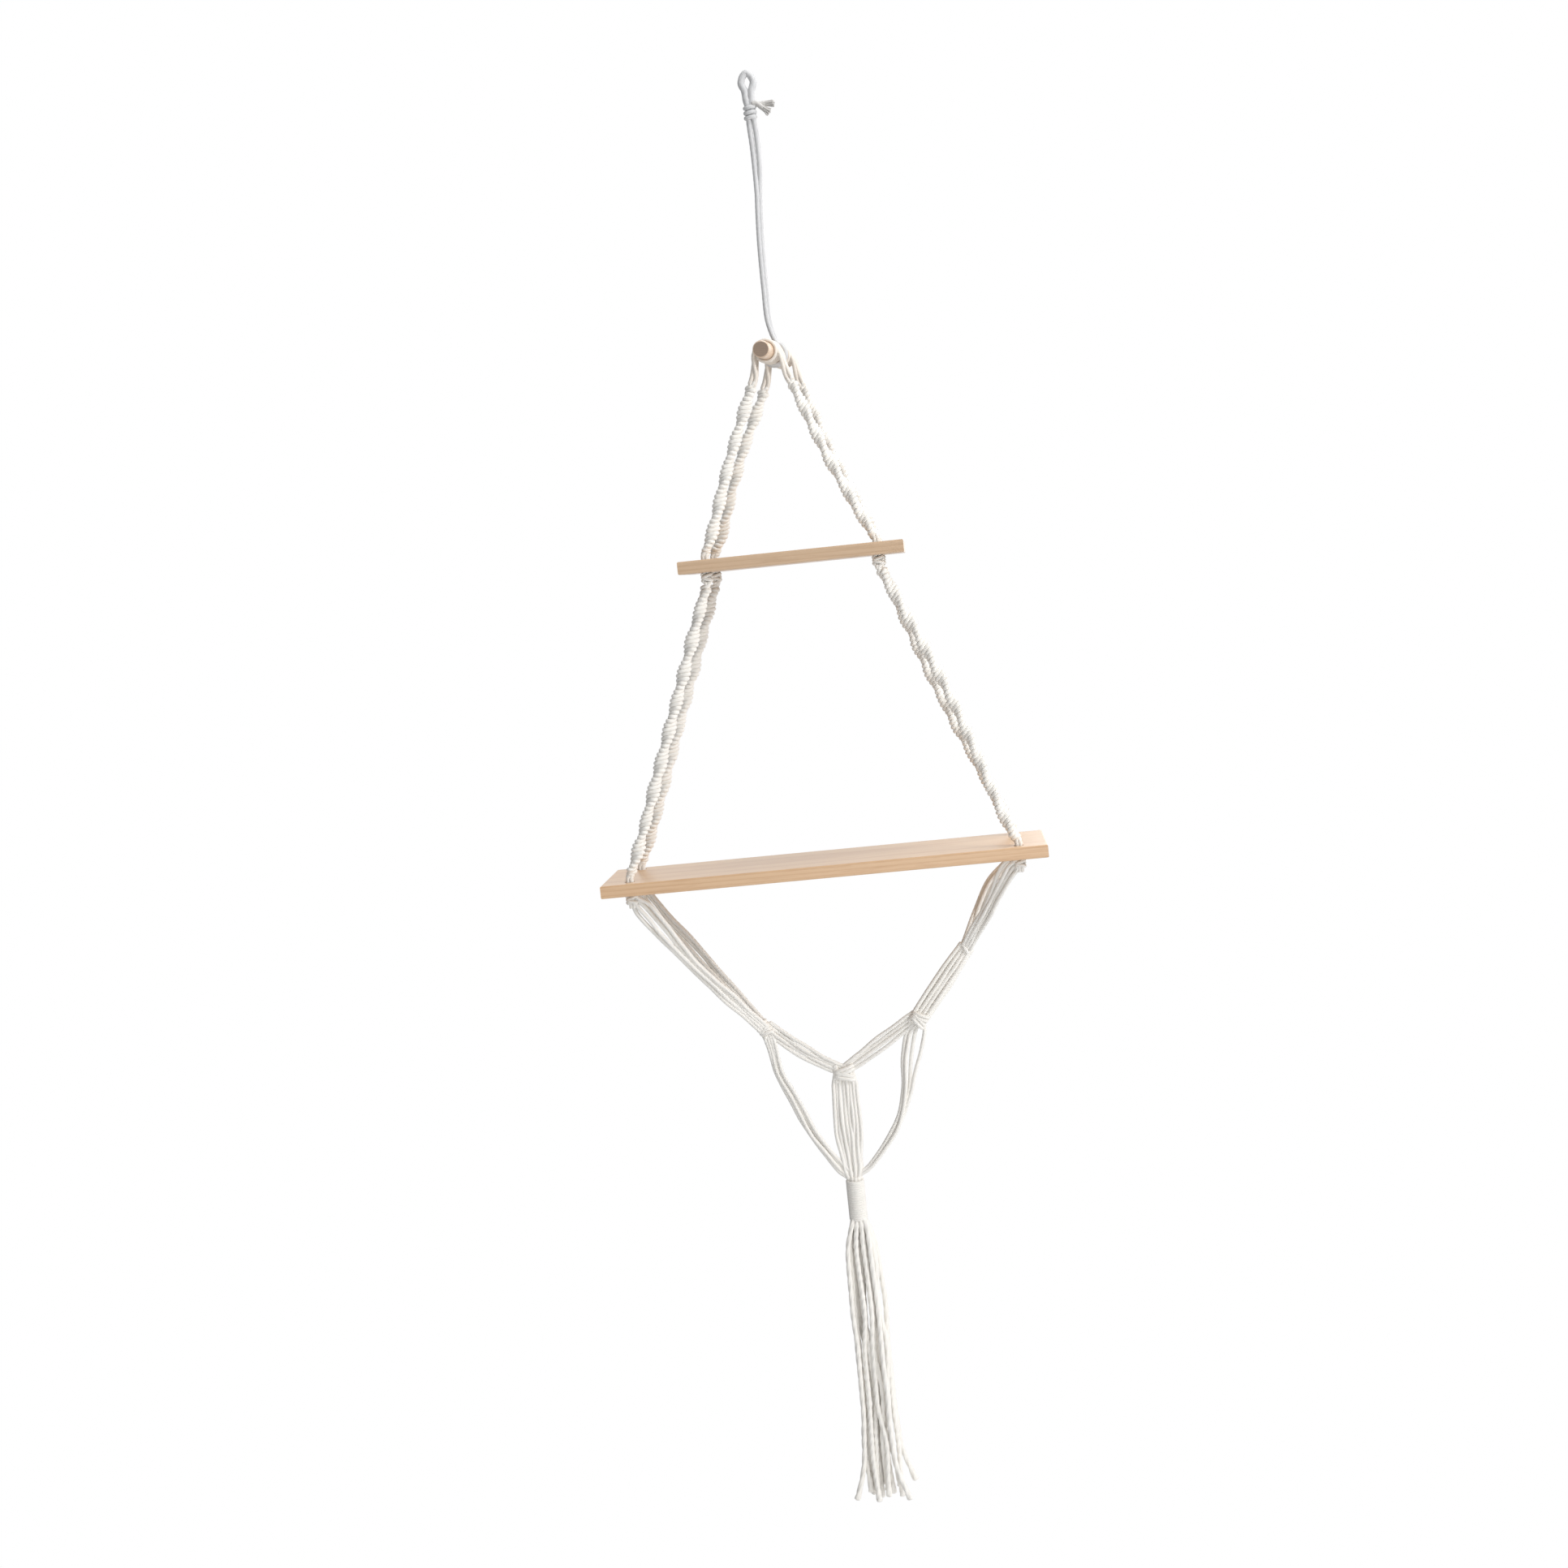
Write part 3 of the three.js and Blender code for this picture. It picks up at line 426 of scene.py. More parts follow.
COTTON = cotton_material(
    "cotton_cord", colour(244, 240, 232), colour(250, 247, 242), colour(247, 243, 236))
# Painted shade: the hanging cord is the same cotton as the ropes, painted grey for the soft shade
# it hangs in
HANGER_SHADE_COTTON = cotton_material(
    "hanger_cotton_painted_shade", colour(203, 203, 204), colour(216, 216, 216), colour(210, 210, 210))
# Painted shade: the hanger's cut ends are the same cotton, painted a darker grey for the soft shade
# they sit in
CUT_END_SHADE_COTTON = cotton_material(
    "cut_end_cotton_painted_shade", colour(190, 187, 183), colour(206, 203, 199), colour(198, 195, 191))
# Painted shade: the cords wound on the dowel are the same cotton, painted a warm tan for the shade
# and wood-tinted light they sit in
WOUND_SHADE_COTTON = cotton_material(
    "wound_cotton_painted_warm_shade", colour(232, 223, 212), colour(240, 232, 222), colour(236, 228, 217))
BOARD_HEART = (0, 0.012, -0.075)  # the tree's middle is under and behind a board's
BOARD_RING = 0.0042
UPPER_WOOD = wood_material(
    "pine_short_board", colour(204, 174, 142), colour(186, 153, 119), colour(166, 132, 98),
    colour(190, 160, 130), 0, BOARD_HEART, BOARD_RING)
LOWER_WOOD = wood_material(
    "pine_long_board", colour(219, 184, 145), colour(199, 155, 113), colour(180, 133, 91),
    colour(196, 160, 130), 0, BOARD_HEART, BOARD_RING)
DOWEL_WOOD = wood_material(
    "beech_dowel", colour(232, 206, 180), colour(206, 174, 144), colour(160, 128, 100),
    colour(134, 114, 97), 1, (0.004, 0, -0.006), 0.0019)


# Camera, at the place and turn that a fit to the picture gives

EYE = Vector((0.1267, -2.3154, -0.4723))
PITCH = radians(4.69)
YAW = radians(-3.93)
ROLL = radians(-5.84)
LENS = 55.9


def place_camera():
    ahead = Vector((sin(YAW) * cos(PITCH), cos(YAW) * cos(PITCH), -sin(PITCH)))
    level = Vector((cos(YAW), -sin(YAW), 0))
    above = level.cross(ahead)
    right = cos(ROLL) * level + sin(ROLL) * above
    top = -sin(ROLL) * level + cos(ROLL) * above
    data = bpy.data.cameras.new("camera")
    data.lens = LENS
    camera = placed("camera", data)
    turn = Matrix((right, top, -ahead)).transposed()
    camera.matrix_world = Matrix.Translation(EYE) @ turn.to_4x4()
    bpy.context.scene.camera = camera


place_camera()

# Tassel: sixteen strands that leave the wrap side by side and splay

WRAP_TOP = at(-0.003, 0, -1.051)
WRAP_TURNS = 13
WRAP_PITCH = WRAP_CORD + TURN_GAP
WRAP_BOTTOM = WRAP_TOP - UP * (WRAP_TURNS * WRAP_PITCH + WRAP_CORD)
NECK_RADIUS = 0.0062
TAIL_BEND = WRAP_BOTTOM - UP * 0.008  # where the tassel bends when it swings
TAIL_LENGTH = 0.27
TAIL_STRAND = 0.005
TAIL_RELIEF = 0.3  # depth of a loosened strand's grooves, next to the radius
TAIL_LAY = 0.03  # length in which its plies turn once
TAIL_FLARE = ((0, 0.014), (1.3, 1))  # how far from its cut end it is how many times thicker
TAIL_WAVE = 0.06  # length in which a strand sways
TAIL_SWAY = ((ACROSS, 0.0022), (DEEP, 0.0014))
TAIL_IN = 0.0042  # from the tassel's axis to its outer strands in the wrap
TAIL_OUT = 0.0066  # and where they leave it
TAIL_SPREAD = 0.0124
# Shares of the tassel's length and of its spread there, and how far it is to the right
TAIL_SHARES = ((0.07, 0.86, 0.0004), (0.3, 0.96, 0.0016), (0.6, 1.04, 0.0008),
               (0.86, 1.1, -0.0004), (1, 1.18, 0))
TAIL_DEPTH_SHARE = 0.5  # of its spread, from front to back
TAIL_SKEW_SHARE = 1 / 6  # of the spread, how far each row is shifted past the one in front
TAIL_UNEVEN = 0.004  # between the ends of neighbouring strands
IN_WRAP = 0.012  # how far a strand reaches into the wrap
END_CURLS = {(-1, -1, 1): -0.011, (1, -1, 0): 0.012, (1, 1, 3): 0.007}  # of some strands' ends
SQUARE = ((0.5, -0.5), (-0.5, -0.5), (-0.5, 0.5), (0.5, 0.5))  # places of four strands
OUTERMOST = 1.5  # from the tassel's axis to its outer strands, with 1 from strand to strand


def tail_route(side, end, index):
    """From inside the wrap down to the cut end."""
    u, v = SQUARE[index]
    across, behind = side + u, end + v
    points = [at(WRAP_BOTTOM[0] + out * across / OUTERMOST, out * behind / OUTERMOST,
                 WRAP_BOTTOM[2] + rise)
              for out, rise in ((TAIL_IN, IN_WRAP), (TAIL_IN, 0.0035), (TAIL_OUT, -0.0025))]
    for share, spread_share, shift in TAIL_SHARES:
        spread = TAIL_SPREAD * spread_share
        skew = spread * TAIL_SKEW_SHARE * behind
        points.append(at(WRAP_BOTTOM[0] + shift + spread * across / OUTERMOST + skew,
                         spread * TAIL_DEPTH_SHARE * behind / OUTERMOST,
                         TAIL_BEND[2] - share * (TAIL_LENGTH - index * TAIL_UNEVEN)))
    points[-1][0] += END_CURLS.get((side, end, index), 0)
    return points


def hanging_strand(points):
    """The route with a slight wave that grows towards the free end."""
    path = curve_through(points, STEP)
    count = len(path)
    grow = smooth(np.linspace(0, 1, count) * 2.2)
    for direction, size in TAIL_SWAY:
        path = path + direction * (wander(count, STEP, TAIL_WAVE, size) * grow)[:, None]
    return resampled(path, STEP)


def tassel_strand(corner, side, end, index):
    path = hanging_strand(tail_route(side, end, index))
    mesh = CordMesh().add(path, TAIL_STRAND, lay=TAIL_LAY * random.uniform(0.8, 1.5),
                          flare=TAIL_FLARE, relief=TAIL_RELIEF)
    strand = mesh.piece(f"tassel_strand_{corner}_{index + 1}", None, f"tassel_{corner}")
    path = mesh.paths[0]
    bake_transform(strand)


for corner in CORNERS:
    for index in range(len(SQUARE)):
        tassel_strand(*corner, index)


# Ropes: half-knots round two filler strands

ROPE_WIDTH = 0.013
ROPE_THICKNESS = 0.008
ROPE_SPIRAL = 0.058  # length in which a rope's section turns once
ROPE_TAPER = 0.008  # in which its strands come together at each end
ROPE_BEND = 0.024  # from a hole's mouth up to where the rope is straight
NECK_RISE = 0.003  # how far over the board it is already straight and narrow
KNOT_PITCH = 0.0047  # length of one half-knot
KNOT_STEP = 0.00035  # between the places of a knotted cord
KNOT_WAVE = 0.016  # length in which the knots grow tighter and looser
KNOT_SLACK = 0.05
NECK_PITCH = 0.0029  # between the strands in a hole
BUNDLE_PITCH = 0.0038  # and where they come together under the dowel
FILLER_OUT = 0.0013  # from a rope's axis to its two straight strands
ROPE_TOP_IN = 0.0035  # how far the first knot hangs inside the line from dowel to hole
# How far the rope over and the rope under the upper board bow to the right
ROPE_BOWS = {"front_left": (-0.002, 0), "back_left": (-0.0035, 0),
             "front_right": (-0.0025, 0.006), "back_right": (-0.0025, -0.004)}


def upper_hole(side, end):
    return at(UPPER_MIDDLE + side * UPPER_HOLE_OUT, end * HOLE_BACK, UPPER_HIGH.z)


def lower_hole(side, end):
    return at(side * LOWER_HOLE_OUT, end * HOLE_BACK, LOWER_HIGH.z)


def knot_place(t, width, depth, cord, same):
    """Where the first working cord is, t half-knots along: across, behind, and how far ahead along
    the rope. With same true each half-knot goes the same way round, and otherwise by turns, with
    a hook at each edge."""
    swing = np.cos(pi * t)
    bow = np.abs(np.sin(pi * t)) ** 0.7
    out = -np.sign(swing) * np.abs(swing) ** 0.85 * (width - cord) / 2
    if same:
        back = np.where(np.floor(t) % 2 == 0, -1, 1) * bow * (depth - cord) / 2
    else:
        back = 0.35 * cord * np.abs(swing) ** 8 - bow * (depth - cord) / 2
    return out, back, -np.sin(tau * t) * 0.1


def rope(points, start_pitch, name, node):
    """Four strands: side by side at the start, knotted into a spiral, and straight in the hole."""
    axis = curve_through(points, ROUTE_STEP)
    reach = reach_along(axis)
    length = reach[-1]
    first, second = square_to(tangents(axis), ACROSS)
    neck_top = length - THICK - NECK_RISE
    mesh = CordMesh()
    s = np.arange(0, length, KNOT_STEP)
    opened = smooth(s / ROPE_TAPER) * smooth((neck_top - s) / ROPE_TAPER)
    settled = smooth((s - neck_top + ROPE_TAPER) / ROPE_TAPER)
    spiral = tau * s / ROPE_SPIRAL
    quarter = pi / 2
    spin = spiral * (1 - settled) + settled * round(spiral[-1] / quarter) * quarter
    knot = np.clip(s - ROPE_TAPER * 0.3, 0, None) / KNOT_PITCH
    slack = 1 + wander(len(s), KNOT_STEP, KNOT_WAVE, KNOT_SLACK)
    pitch = np.where(s < length / 2, start_pitch, NECK_PITCH)
    for index, (u, v) in enumerate(SQUARE):
        if index % 2:
            knot_x, knot_y, ahead = FILLER_OUT if index == 1 else -FILLER_OUT, 0, 0
        else:
            knot_x, knot_y, ahead = knot_place(
                knot + index / 2, ROPE_WIDTH * slack, ROPE_THICKNESS * slack, KNOT_CORD, True)
        x = knot_x * opened + pitch * u * (1 - opened)
        y = knot_y * opened + pitch * v * (1 - opened)
        forward = np.clip(s + ahead * KNOT_PITCH * opened, 0, length)
        centre, across, aside = (
            np.column_stack([np.interp(forward, reach, values[:, k]) for k in range(3)])
            for values in (axis, first, second))
        mesh.add(centre + across * (x * np.cos(spin) - y * np.sin(spin))[:, None]
                 + aside * (x * np.sin(spin) + y * np.cos(spin))[:, None], KNOT_CORD)
    return mesh.piece(name, "shelf", node)


# The cords wound on the dowel

TURN_RADIUS = DOWEL_RADIUS + SEAT_GAP + TIGHT_CORD / 2
TURN_PITCH = TIGHT_CORD + TURN_GAP
TURNS_IN = 0.019  # from the dowel's middle to the nearest cord
TURN_PLACES = 24
CORDS_EACH_END = 4
WOUND_CORD = TIGHT_CORD * 1.08
WOUND_LOOSE = (0.034, 1.34)  # length of a wound cord's looser ends, and how many times thicker
STRAND_DROP = 0.027  # from the dowel's axis to the first knot of a rope
STRAND_HANG = 0.008  # where a strand still hangs straight off the dowel
STRAND_STRAIGHT = 0.005  # where the strands run side by side into the rope
STRAND_FOOT = 0.0023  # how far they reach into it
DOWEL_ALONG = at(sin(DOWEL_TURN), cos(DOWEL_TURN), 0)
DOWEL_ACROSS = at(cos(DOWEL_TURN), -sin(DOWEL_TURN), 0)
LEAN = atan2(UPPER_HOLE_OUT - TURN_RADIUS, DOWEL_CENTRE[2] - UPPER_HIGH.z)
FIRST_ANGLE = 3 * pi / 2 + LEAN
LAST_ANGLE = 9 * pi / 2 - LEAN
TURNS_WIDTH = TURN_PITCH * (LAST_ANGLE - FIRST_ANGLE) / tau
CORD_PITCH = 2 * TURN_PITCH
GROUP_WIDTH = (CORDS_EACH_END - 1) * CORD_PITCH + TURNS_WIDTH


def on_dowel(along, radius, angle):
    """A place round the dowel's axis, with the angle clockwise from its top."""
    return (DOWEL_CENTRE + DOWEL_ALONG * along + DOWEL_ACROSS * radius * sin(angle)
            + UP * radius * cos(angle))


def turn_start(end, index):
    """Where along the dowel a cord's turns begin."""
    return (-TURNS_IN - GROUP_WIDTH if end < 0 else TURNS_IN) + index * CORD_PITCH


def rope_top(side, end):
    """Where a rope's knots begin, and the direction from there to the board's hole."""
    shift = 0 if side < 0 else TURNS_WIDTH
    middle = turn_start(end, (CORDS_EACH_END - 1) / 2) + shift
    leave = on_dowel(middle, TURN_RADIUS, FIRST_ANGLE if side < 0 else LAST_ANGLE)
    hole = upper_hole(side, end)
    share = (STRAND_DROP + leave[2] - DOWEL_CENTRE[2]) / (leave[2] - hole[2])
    place = leave + (hole - leave) * share - ACROSS * side * ROPE_TOP_IN
    return place, unit(hole - place)


def strand_end(side, end, index):
    """The end of a wound cord: its foot, just inside the rope, and a place above it."""
    u, v = SQUARE[index]
    place, along = rope_top(side, end)
    first, second = square_to(along[None], ACROSS)
    foot = place - first[0] * side * u * BUNDLE_PITCH - second[0] * v * BUNDLE_PITCH
    return [foot + along * STRAND_FOOT, foot - along * STRAND_STRAIGHT]


def hung(place, side):
    """A little further down a strand from where it leaves the dowel."""
    return (place + DOWEL_ACROSS * side * STRAND_HANG * sin(LEAN)
            - UP * STRAND_HANG * cos(LEAN))


def wound_cords(end_name, end):
    for index in range(CORDS_EACH_END):
        start = turn_start(end, index)
        turns = [on_dowel(start + TURNS_WIDTH * share, TURN_RADIUS,
                          mixed(FIRST_ANGLE, LAST_ANGLE, share))
                 for share in np.linspace(0, 1, TURN_PLACES + 1)]
        points = [*strand_end(-1, end, index), hung(turns[0], -1), *turns, hung(turns[-1], 1),
                  *strand_end(1, end, index)[::-1]]
        mesh = CordMesh().add(points, WOUND_CORD, loose=WOUND_LOOSE)
        mesh.piece(f"{end_name}_wound_cord_{index + 1}", "shelf",
                   f"{end_name}_cord_turn_{index + 1}", material=WOUND_SHADE_COTTON)


def rope_route(start, hole, along, bow):
    """A rope's axis from where its knots are open down through a hole."""
    return [start + along * ROPE_TAPER, mixed(start, hole, MIDDLE_SHARE) + ACROSS * bow,
            hole - along * ROPE_BEND, hole + UP * NECK_RISE, hole, hole - UP * THICK]


def corner_ropes(corner, side, end):
    """The ropes over and under a corner of the upper board, with their stop knots."""
    upper_bow, lower_bow = ROPE_BOWS[corner]
    place, along = rope_top(side, end)
    hole = upper_hole(side, end)
    rope([place, *rope_route(place, hole, along, upper_bow)], BUNDLE_PITCH,
         f"{corner}_sinnet_upper", f"{corner}_rope_upper")
    start = hole - UP * (THICK + SEAT_GAP * 2 + STOP_HEIGHT)
    low = lower_hole(side, end)
    route = rope_route(start, low, unit(low - start), lower_bow)
    rope([start, start - UP * ROPE_TAPER / 4, *route], NECK_PITCH,
         f"{corner}_sinnet_lower", f"{corner}_rope_lower")
    for level, mouth in (("upper", hole), ("lower", low)):
        stop_knot(mouth - UP * THICK, f"{corner}_stop_{level}", f"{corner}_stop_knot_{level}")


# Knots

STOP_HEIGHT = 0.009
STOP_WIDTH = 0.0115
STOP_DEPTH = 0.0105
STOP_CORD = 0.0033
STOP_FILLER_HALF = 0.008  # half the length of the straight strands in a stop knot
COPY_PITCH = 0.94  # between doubled cords, in diameters
TUCKED = 0.25  # how far towards the knot's middle a working cord's ends are tucked in


def square_knot(mesh, centre, along, across, width, depth, length, cord, doubled=1):
    """The two working cords of a knot of two half-knots, across a bundle whose run is along.
    Doubled is how many cords run side by side."""
    back = np.cross(along, across)
    t = np.arange(0, 2.001, 0.02)
    for start in (0, 1):
        out, behind, ahead = knot_place(t + start, width, depth, cord, False)
        if start:
            behind = -behind
        for copy in range(doubled):
            shift = (copy - (doubled - 1) / 2) * cord * COPY_PITCH
            reach = (t / 2 - 0.5) * length + ahead * length / 2 + shift
            path = centre + along * reach[:, None] + across * out[:, None] + back * behind[:, None]
            tucked = [mixed(path[0], centre, TUCKED) - along * cord / 2, *path[::4],
                      mixed(path[-1], centre, TUCKED) + along * cord / 2]
            mesh.add(tucked, cord)


def stop_knot(under, name, node):
    """The knot that a board rests on: two fillers straight through, two cords tied round them."""
    mesh = CordMesh()
    middle = under - UP * (SEAT_GAP + STOP_HEIGHT / 2)
    for side in (-1, 1):
        filler = middle + ACROSS * side * NECK_PITCH / 2
        reach = UP * STOP_FILLER_HALF
        mesh.add(np.linspace(filler + reach, filler - reach, 12), STOP_CORD)
    square_knot(mesh, middle, -UP, ACROSS, STOP_WIDTH, STOP_DEPTH, STOP_HEIGHT - STOP_CORD,
                STOP_CORD)
    mesh.piece(name, "shelf", node)


for end_name, end in END_NAMES.items():
    wound_cords(end_name, end)
    for side_name, side in SIDE_NAMES.items():
        corner_ropes(f"{end_name}_{side_name}", side, end)

# Under the lower board

LEFT_KNOT = at(-0.075, 0, LOWER_HIGH.z - 0.16)
NECK_KNOT = at(0.126, 0, LOWER_HIGH.z - 0.098)
RIGHT_KNOT = at(0.074, 0, LOWER_HIGH.z - 0.163)
CENTRE_KNOT = at(-0.003, 0, LOWER_HIGH.z - 0.207)
# Width, depth and length of each knot, and how many cords run side by side in it
LEFT_SIZE = (0.015, 0.0125, 0.0165), 2
NECK_SIZE = (0.013, 0.0125, 0.012), 1
RIGHT_SIZE = (0.019, 0.0155, 0.0165), 2
CENTRE_SIZE = (0.0215, 0.0125, 0.0185), 2
CENTRE_LOW = 0.003  # how far the centre knot's cords sit under its place
PRESSED = 0.0029  # between strands that are pressed together
FUSED_HALF = 0.0032  # half a pair of them
BOARD_STRAND = 0.0042
BAND_STRAND = 0.0044
# The strands from each corner: how far they bow to the right and up, how far to the right they
# leave the board, how widely next to their fan, their fan's places and those half way along
BOARD_BUNDLES = {
    "front_left": (0, -0.001, 0.0008, 1.5, (-0.0044, -0.0012, 0.0024, 0.006),
                   (-0.0046, -0.0012, 0.0022, 0.0052)),
    "back_left": (0, 0.002, -0.0025, 0.8, (-0.0092, -0.0048, -0.0002, 0.0046),
                  (-0.0058, -0.0024, 0.0012, 0.0046)),
    "front_right": (-0.004, 0.003, -0.003, 1.2, (-0.0078, -0.004, -0.0004, 0.0034),
                    (-0.005, -0.002, 0.0012, 0.004)),
    "back_right": (-0.002, 0.014, 0.001, 0.8, (-0.005, -0.001, 0.0034, 0.0076),
                   (-0.0046, -0.0014, 0.002, 0.0052))}
LEAVE_REACH = 0.01
LEAVE_DROP = 0.002
ZIGZAG = (0.0012, -0.0012, 0.0012, -0.0012)  # by turns behind and in front of a bundle's axis
CENTRE_PLACES = (-0.0122, -0.0088, -0.0048, -0.0014, 0.002, 0.0054, 0.0088, 0.0122)
CENTRE_BOW = -0.0012
INNER_SAGS = {"left": 0.0052, "right": 0.0004}
INNER_PLACES = ((-0.0056, 0), (-0.0018, 0.001), (0.002, -0.001), (0.0058, 0))  # half way along
SWAG_SHARES = (0, 0.15, 0.45, 0.8, 1)  # of a swag's length, where its strands' places are given
SWAG_DRIFT = 0.0004
BAND_DRIFT = 0.0003
DRIFT = 0.0005  # how far a strand strays from its place, and in what length
DRIFT_WAVE = 0.03
# Routes of the outer swags: how many strands, and places sideways and up from the board's top
OUTER_LEFT = [(4, (-0.0728, -0.166), (-0.0655, -0.2035), (-0.052, -0.2362), (-0.0385, -0.2668),
               (-0.015, -0.3033))]
OUTER_RIGHT = [
    (2, (0.064, -0.174), (0.0575, -0.1969), (0.053, -0.2335), (0.0442, -0.2623), (0.013, -0.3028)),
    (1, (0.07, -0.174), (0.064, -0.195), (0.0575, -0.229), (0.046, -0.262), (0.014, -0.302)),
    (1, (0.0785, -0.1714), (0.0745, -0.1905), (0.064, -0.218), (0.0485, -0.26), (0.0155, -0.3012))]


def row(count, pitch):
    """Places of strands side by side."""
    return [((i - (count - 1) / 2) * pitch, 0) for i in range(count)]


def staggered(count, pitch):
    """The same, with the strands by turns in front and behind."""
    return [(x, (i % 2 - 0.5) * PRESSED) for i, (x, _) in enumerate(row(count, pitch))]


def zigzag(places, wider=1):
    """Strands at the given places beside a bundle's axis, by turns behind and in front."""
    return [(x * wider, y) for x, y in zip(places, ZIGZAG)]


def pressed_row(share):
    """The strands under the centre knot, pressed together to a share of their places."""
    return [(x * share, (1 - share) * PRESSED * (0.8 if i % 2 else -0.8))
            for i, x in enumerate(CENTRE_PLACES)]


def bundle(mesh, points, shares, rows, drift=DRIFT, diameter=STRAND):
    """Strands along a route, with a row of their places, beside it and behind, at each share."""
    axis = curve_through(points, STEP)
    share = reach_along(axis) / reach_along(axis)[-1]
    deep, aside = square_to(tangents(axis), DEEP)
    free = smooth(share * 6) * smooth((1 - share) * 6)
    for strand in zip(*rows):
        path = axis.copy()
        for k, direction in enumerate((aside, deep)):
            places = smooth_through(share, shares, [place[k] for place in strand])
            strayed = wander(len(axis), STEP, DRIFT_WAVE, drift) * free
            path = path + direction * (places + strayed)[:, None]
        mesh.add(path, diameter)


def smooth_through(x, places, values):
    """Values that ease from each given one to the next."""
    result = np.full_like(x, values[0])
    for a, b, low, high in zip(places, places[1:], values, values[1:]):
        result = result + (high - low) * smooth((x - a) / (b - a))
    return result


def board_strands(corner, side, end):
    bow_out, bow_up, leave_out, leave_width, fan, half_way = BOARD_BUNDLES[corner]
    target = (LEFT_KNOT if side < 0 else NECK_KNOT) + DEEP * end * FUSED_HALF
    under = lower_hole(side, end) - UP * THICK
    out = under - UP * (2 * SEAT_GAP + STOP_HEIGHT + STRAND)
    middle = mixed(out, target, MIDDLE_SHARE) + at(bow_out, 0, bow_up)
    start = under - UP * STRAND / 2
    leave = start + unit(middle - start) * LEAVE_REACH - UP * LEAVE_DROP + ACROSS * leave_out
    mesh = CordMesh()
    bundle(mesh, [start, leave, middle, target], (0, 0.1, 0.5, 1), (
        zigzag(fan, 0.6), zigzag(fan, leave_width), zigzag(half_way), row(4, 0.0027)),
        diameter=BOARD_STRAND)
    mesh.piece(f"{corner}_board_strands", "shelf", f"{corner}_strands")


def flat_knot(name, node, centre, along, size, doubled):
    """One flat knot round strands that run along the shelf's front plane."""
    width, depth, length = size
    mesh = CordMesh()
    square_knot(mesh, centre, along, unit(np.cross(DEEP, along)), width, depth,
                length - doubled * STRAND, STRAND, doubled)
    mesh.piece(name, "shelf", node)


def swag(mesh, start, finish, bow, rows, inside=0.0):
    """Strands from one knot to another with a bow between, and some way into the second."""
    points = [start, mixed(start, finish, END_SHARE) + bow / 2,
              mixed(start, finish, MIDDLE_SHARE) + bow,
              mixed(finish, start, END_SHARE) + bow / 2, finish]
    if inside:
        points.append(finish - UP * inside)
    bundle(mesh, points, SWAG_SHARES, rows, SWAG_DRIFT)


def knots_under_board():
    left_along = unit(LEFT_KNOT - lower_hole(-1, 0))
    right_along = unit(RIGHT_KNOT - NECK_KNOT)
    flat_knot("left_knot_cords", "left_side_knot", LEFT_KNOT, left_along, *LEFT_SIZE)
    flat_knot("neck_knot_cords", "right_neck_knot", NECK_KNOT, right_along, *NECK_SIZE)
    flat_knot("right_knot_cords", "right_side_knot", RIGHT_KNOT, right_along, *RIGHT_SIZE)
    flat_knot("centre_knot_cords", "centre_knot", CENTRE_KNOT - UP * CENTRE_LOW, -UP, *CENTRE_SIZE)


def right_band():
    mesh = CordMesh()
    bundle(mesh, [NECK_KNOT, mixed(NECK_KNOT, RIGHT_KNOT, 0.5), RIGHT_KNOT], (0, 0.5, 1),
           (staggered(8, 0.0018), staggered(8, 0.0022), staggered(8, 0.002)),
           BAND_DRIFT, BAND_STRAND)
    mesh.piece("right_band_strands", "shelf", "right_band")


def swags(side_name, knot, side):
    """From a side knot the inner strands to the centre knot, and the outer ones to the tassel."""
    mean = unit(unit(CENTRE_KNOT - knot) + unit(WRAP_TOP - knot))
    parting = at(mean[2], 0, -mean[0]) * side * (FUSED_HALF + SEAT_GAP)
    mesh = CordMesh()
    swag(mesh, knot + parting, CENTRE_KNOT, -UP * INNER_SAGS[side_name], (
        row(4, 0.0031), row(4, 0.0037), INNER_PLACES, row(4, 0.0033), row(4, 0.0024)))
    mesh.piece(f"{side_name}_inner_strands", "shelf", f"{side_name}_inner_swag")
    mesh = CordMesh()
    end = WRAP_TOP + ACROSS * side * 0.0035 + UP * 0.002
    for count, *places in OUTER_LEFT if side < 0 else OUTER_RIGHT:
        points = [knot - parting / 2, *(at(x, 0, LOWER_HIGH.z + z) for x, z in places),
                  end, end - UP * IN_WRAP]
        loose = [x for x, _ in row(count, 0.0022 if count > 2 else 0.0028)]
        bundle(mesh, points, (0, 0.3, 0.7, 1), (
            row(count, 0.0026), zigzag(loose), zigzag(loose, 1.2), row(count, 0.002)), SWAG_DRIFT)
    outer = mesh.piece(f"{side_name}_outer_strands", None, f"{side_name}_outer_swag")
    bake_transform(outer)


def centre_strands():
    mesh = CordMesh()
    swag(mesh, CENTRE_KNOT, WRAP_TOP + UP * 0.002, ACROSS * CENTRE_BOW, (
        staggered(8, 0.0024), pressed_row(0.92), pressed_row(1), pressed_row(0.72),
        staggered(8, 0.0013)), inside=0.01)
    middle = mesh.piece("centre_pair_strands", None, "centre_strands")
    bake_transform(middle)


for corner in CORNERS:
    board_strands(*corner)
knots_under_board()
right_band()
swags("left", LEFT_KNOT, -1)
swags("right", RIGHT_KNOT, 1)
centre_strands()


NECK_RINGS = ((0.0044, 9), (0.0015, 3))  # radius of each ring of strands in the wrap, and count
NECK_OUT = 0.001  # how far they stand out of the wrap
WRAP_FINENESS = 2  # drawn turns of the wrap for each of its solid's
WRAP_ANGLE_STEP = 0.1


